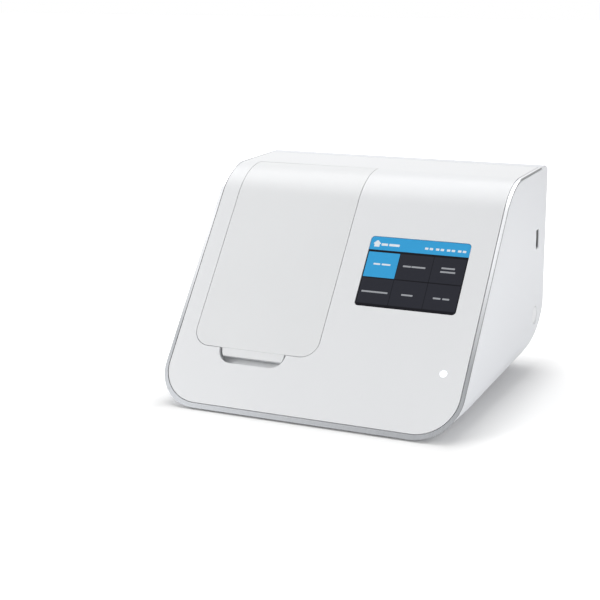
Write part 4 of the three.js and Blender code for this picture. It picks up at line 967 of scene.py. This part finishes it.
def light_lens():
    lens = slope_bar("light_lens", LIGHT_X, LIGHT_SPAN, -6, -0.15, LIGHT_RADIUS - 0.2)
    fuse(lens, slope_bar("lens_flange", LIGHT_X, LIGHT_SPAN, -4.2, -2.9, 3.8))
    soften(lens, 0.3, 3)
    return stand_in(lens, glowing_lens(), "clear_plastic", "housing", "status_light_pipe")


def power_key():
    """The round power button, flush with the side, on its flange and stem."""
    at = (SIDE_Y, KEY_Z)
    face = WIDTH / 2
    key = bar("power_key", "x", at, face - 4.2, face, KEY_RADIUS, sides=64)
    fuse(key, bar("key_flange", "x", at, face - 4.2, face - 2.8, KEY_RADIUS + 1.6, sides=64))
    fuse(key, bar("key_stem", "x", at, 93.3, face - 3.5, 2.2, sides=32))
    cut(key, bar("key_dish", "x", at, face - 0.35, face + 1.0, KEY_RADIUS - 1.0, KEY_RADIUS + 0.4, sides=64))
    soften(key, 0.2, 3)
    return stand_in(key, key_white, "white_plastic", "button", "power_button")


def socket_form(name, length):
    """A connector shell at the origin, its mouth facing +X and its width along Y."""
    shell = block(name, (-length, 0), (-6.55, 6.55), (-2.9, 2.9))
    bevel_edges(shell, runs_along((1, 0, 0)), 0.5, 3)
    room = block("room", (-11.5, 1), (-6.15, 6.15), (-2.5, 2.5))
    bevel_edges(room, runs_along((1, 0, 0)), 0.3, 2)
    cut(shell, room)
    return shell


def place_socket(piece, turn, place):
    take_up(piece)
    piece.rotation_euler = turn
    piece.location = Vector(place) * MM
    return settle(piece)


def socket_tongue(name):
    tongue = block(name, (-11.4, -1.6), (-5, 5), (0, 1.8))
    bevel_edges(tongue, runs_along((0, 1, 0), lambda c: c.x > -2 * MM), 0.5, 3)
    return tongue


def sockets():
    places = (
        ("side_socket", "side_usb_port", (math.pi / 2, 0, 0), (WIDTH / 2 - SEAT, SIDE_Y, SOCKET_Z), 15.8),
        ("rear_socket_right", "usb_port_right", (0, 0, math.pi / 2), (58, REAR_Y - SEAT, 50), 16.7),
        ("rear_socket_left", "usb_port_left", (0, 0, math.pi / 2), (75, REAR_Y - SEAT, 50), 16.7),
    )
    for name, node, turn, place, length in places:
        shell = place_socket(socket_form(name, length), turn, place)
        soften(shell, 0.08, 2)
        stand_in(shell, socket_steel, "steel", "housing", node)
        tongue = place_socket(socket_tongue(name + "_tongue"), turn, place)
        soften(tongue, 0.1, 2)
        dress(tongue, black_moulding, "housing")
        for index in range(4):
            y = (index - 1.5) * 2.4
            strip = block(name + "_contact", (-10.5, -2.2), (y - 0.6, y + 0.6), (-0.12, 0.05))
            strip.name = f"{name}_contact_{index + 1}"
            place_socket(strip, turn, place)
            soften(strip, 0.04, 1)
            dress(strip, contact_gold, "housing")


def dress(piece, finish, body):
    """Finishes a piece that stands for no node of its own."""
    piece.data.materials.clear()
    piece.data.materials.append(finish)
    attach(piece, body)
    return piece


# The camera, at the photograph's viewing angle
def camera():
    yaw, pitch, roll = (math.radians(a) for a in (-25.178, 13.771, -0.265))
    ahead = Vector((math.sin(yaw) * math.cos(pitch), math.cos(yaw) * math.cos(pitch), -math.sin(pitch)))
    right = Vector((math.cos(yaw), -math.sin(yaw), 0))
    up = right.cross(ahead)
    side = right * math.cos(roll) + up * math.sin(roll)
    top = up * math.cos(roll) - right * math.sin(roll)
    turn = Matrix((side, top, -ahead)).transposed()
    data = bpy.data.cameras.new("view")
    data.lens = 82.123
    data.sensor_width = 36
    data.clip_start = 0.01
    one = bpy.data.objects.new("view", data)
    one.matrix_world = Matrix.Translation(Vector((348.457, -832.049, 279.814)) * MM) @ turn.to_4x4()
    bpy.context.scene.collection.objects.link(one)
    bpy.context.scene.camera = one


def lamp(name, place, aim, size, power, colour=(1, 1, 1)):
    data = bpy.data.lights.new(name, "AREA")
    data.shape = "RECTANGLE"
    data.size, data.size_y = size
    data.energy = power
    data.color = colour
    one = bpy.data.objects.new(name, data)
    one.location = place
    one.rotation_euler = (Vector(aim) - Vector(place)).to_track_quat("-Z", "Y").to_euler()
    bpy.context.scene.collection.objects.link(one)


def seen_share(tree):
    """1 for what the camera sees by itself, in a reflection or through glass."""
    rays = tree.nodes.new("ShaderNodeLightPath")
    both = math_node(tree, "ADD", rays.outputs["Is Camera Ray"], rays.outputs["Is Glossy Ray"])
    node = tree.nodes.new("ShaderNodeMath")
    node.operation = "ADD"
    node.use_clamp = True
    wire(tree, both, node.inputs[0])
    wire(tree, rays.outputs["Is Transmission Ray"], node.inputs[1])
    return node.outputs[0]


def studio():
    world = bpy.data.worlds.new("studio")
    bpy.context.scene.world = world
    world.use_nodes = True
    tree = world.node_tree
    sky = tree.nodes["Background"]
    wire(tree, math_node(tree, "MULTIPLY_ADD", seen_share(tree), 0.51, 0.49), sky.inputs["Strength"])
    sky.inputs["Color"].default_value = (1, 1, 1, 1)
    lamp("top_light", (-0.25, 0.4, 1.2), (0, 0, 0.1), (1.2, 0.9), 7.9)
    lamp("left_light", (-1.1, -1.2, 0.8), (0, 0, 0.08), (1.0, 0.9), 10.0)
    lamp("right_light", (0.32, -0.09, 0.02), (0.1, -0.02, 0.02), (0.3, 0.03), 0.16)
    put_down()
    bpy.ops.mesh.primitive_plane_add(size=12)
    floor = bpy.context.active_object
    floor.name = "floor"
    finish, tree, shader = new_finish("floor_white")
    shader.inputs["Roughness"].default_value = 0.9
    shader.inputs["Specular IOR Level"].default_value = 0.1
    shader.inputs["Base Color"].default_value = (0.9, 0.9, 0.9, 1)
    shader.inputs["Emission Color"].default_value = (1, 1, 1, 1)
    place = tree.nodes.new("ShaderNodeTexCoord")
    parts = tree.nodes.new("ShaderNodeSeparateXYZ")
    wire(tree, place.outputs["Object"], parts.inputs[0])
    # Painted shadow: for seen rays the floor glows 0.05 at the case's footprint and more with the distance from it,
    # up to 0.94 at 35 cm, so a darker ring is kept around the case on top of the lamps' own shadow, and the floor
    # turns white away from it.
    squares = []
    for axis, half in (("X", 0.098), ("Y", 0.097)):
        past = math_node(tree, "SUBTRACT", math_node(tree, "ABSOLUTE", parts.outputs[axis]), half)
        past = math_node(tree, "MAXIMUM", past, 0.0)
        squares.append(math_node(tree, "MULTIPLY", past, past))
    away = math_node(tree, "SQRT", math_node(tree, "ADD", *squares))
    near = spread(tree, away, (0.0, 0.03), (0.05, 0.34))
    far = spread(tree, away, (0.03, 0.35), (0.0, 0.6))
    glow = math_node(tree, "MULTIPLY", seen_share(tree), math_node(tree, "ADD", near, far))
    wire(tree, glow, shader.inputs["Emission Strength"])
    floor.data.materials.append(finish)
    settings = bpy.context.scene.view_settings
    settings.view_transform = "Standard"


CARRIED = {
    "base_plate": base_grey, "screen_gasket": gasket_rubber, "lcd_module": black_moulding,
    "screen_bracket": sheet_zinc, "status_light_board": board_green,
    "test_base_holder": holder_orange, "sample_receiver_holder": holder_blue,
    "test_base_heater": block_aluminium, "sample_heater": block_aluminium,
    "optics_module": black_moulding, "optics_lens": bright_steel, "lid_sensor": black_moulding,
    "chassis_tray": sheet_zinc, "heater_board": board_green, "main_board": board_green,
    "processor_shield": sheet_zinc, "speaker": black_moulding, "connector_board": board_green,
    "power_jack": black_moulding, "network_port": socket_steel, "side_board": board_green,
    "power_switch": black_moulding, "hinge_bracket_left": sheet_zinc, "hinge_bracket_right": sheet_zinc,
    "hinge_pin_left": bright_steel, "hinge_pin_right": bright_steel, "lid_liner": liner_grey,
    "lid_magnet": bright_steel,
}


def carried_over():
    """Gives each node that is kept as it is its own finish."""
    for name, finish in CARRIED.items():
        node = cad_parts[name]
        node.data.materials.clear()
        node.data.materials.append(finish)
    for name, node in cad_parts.items():
        if name.startswith("foot_"):
            finish = foot_rubber
        elif name.startswith("base_screw_"):
            finish = bright_steel
        else:
            continue
        node.data.materials.clear()
        node.data.materials.append(finish)


camera()
studio()
carried_over()
case_shell()
front_panel()
silver_band()
lid_shell()
lid_deck()
touch_glass()
light_lens()
power_key()
key_spring()
sockets()

put_down()
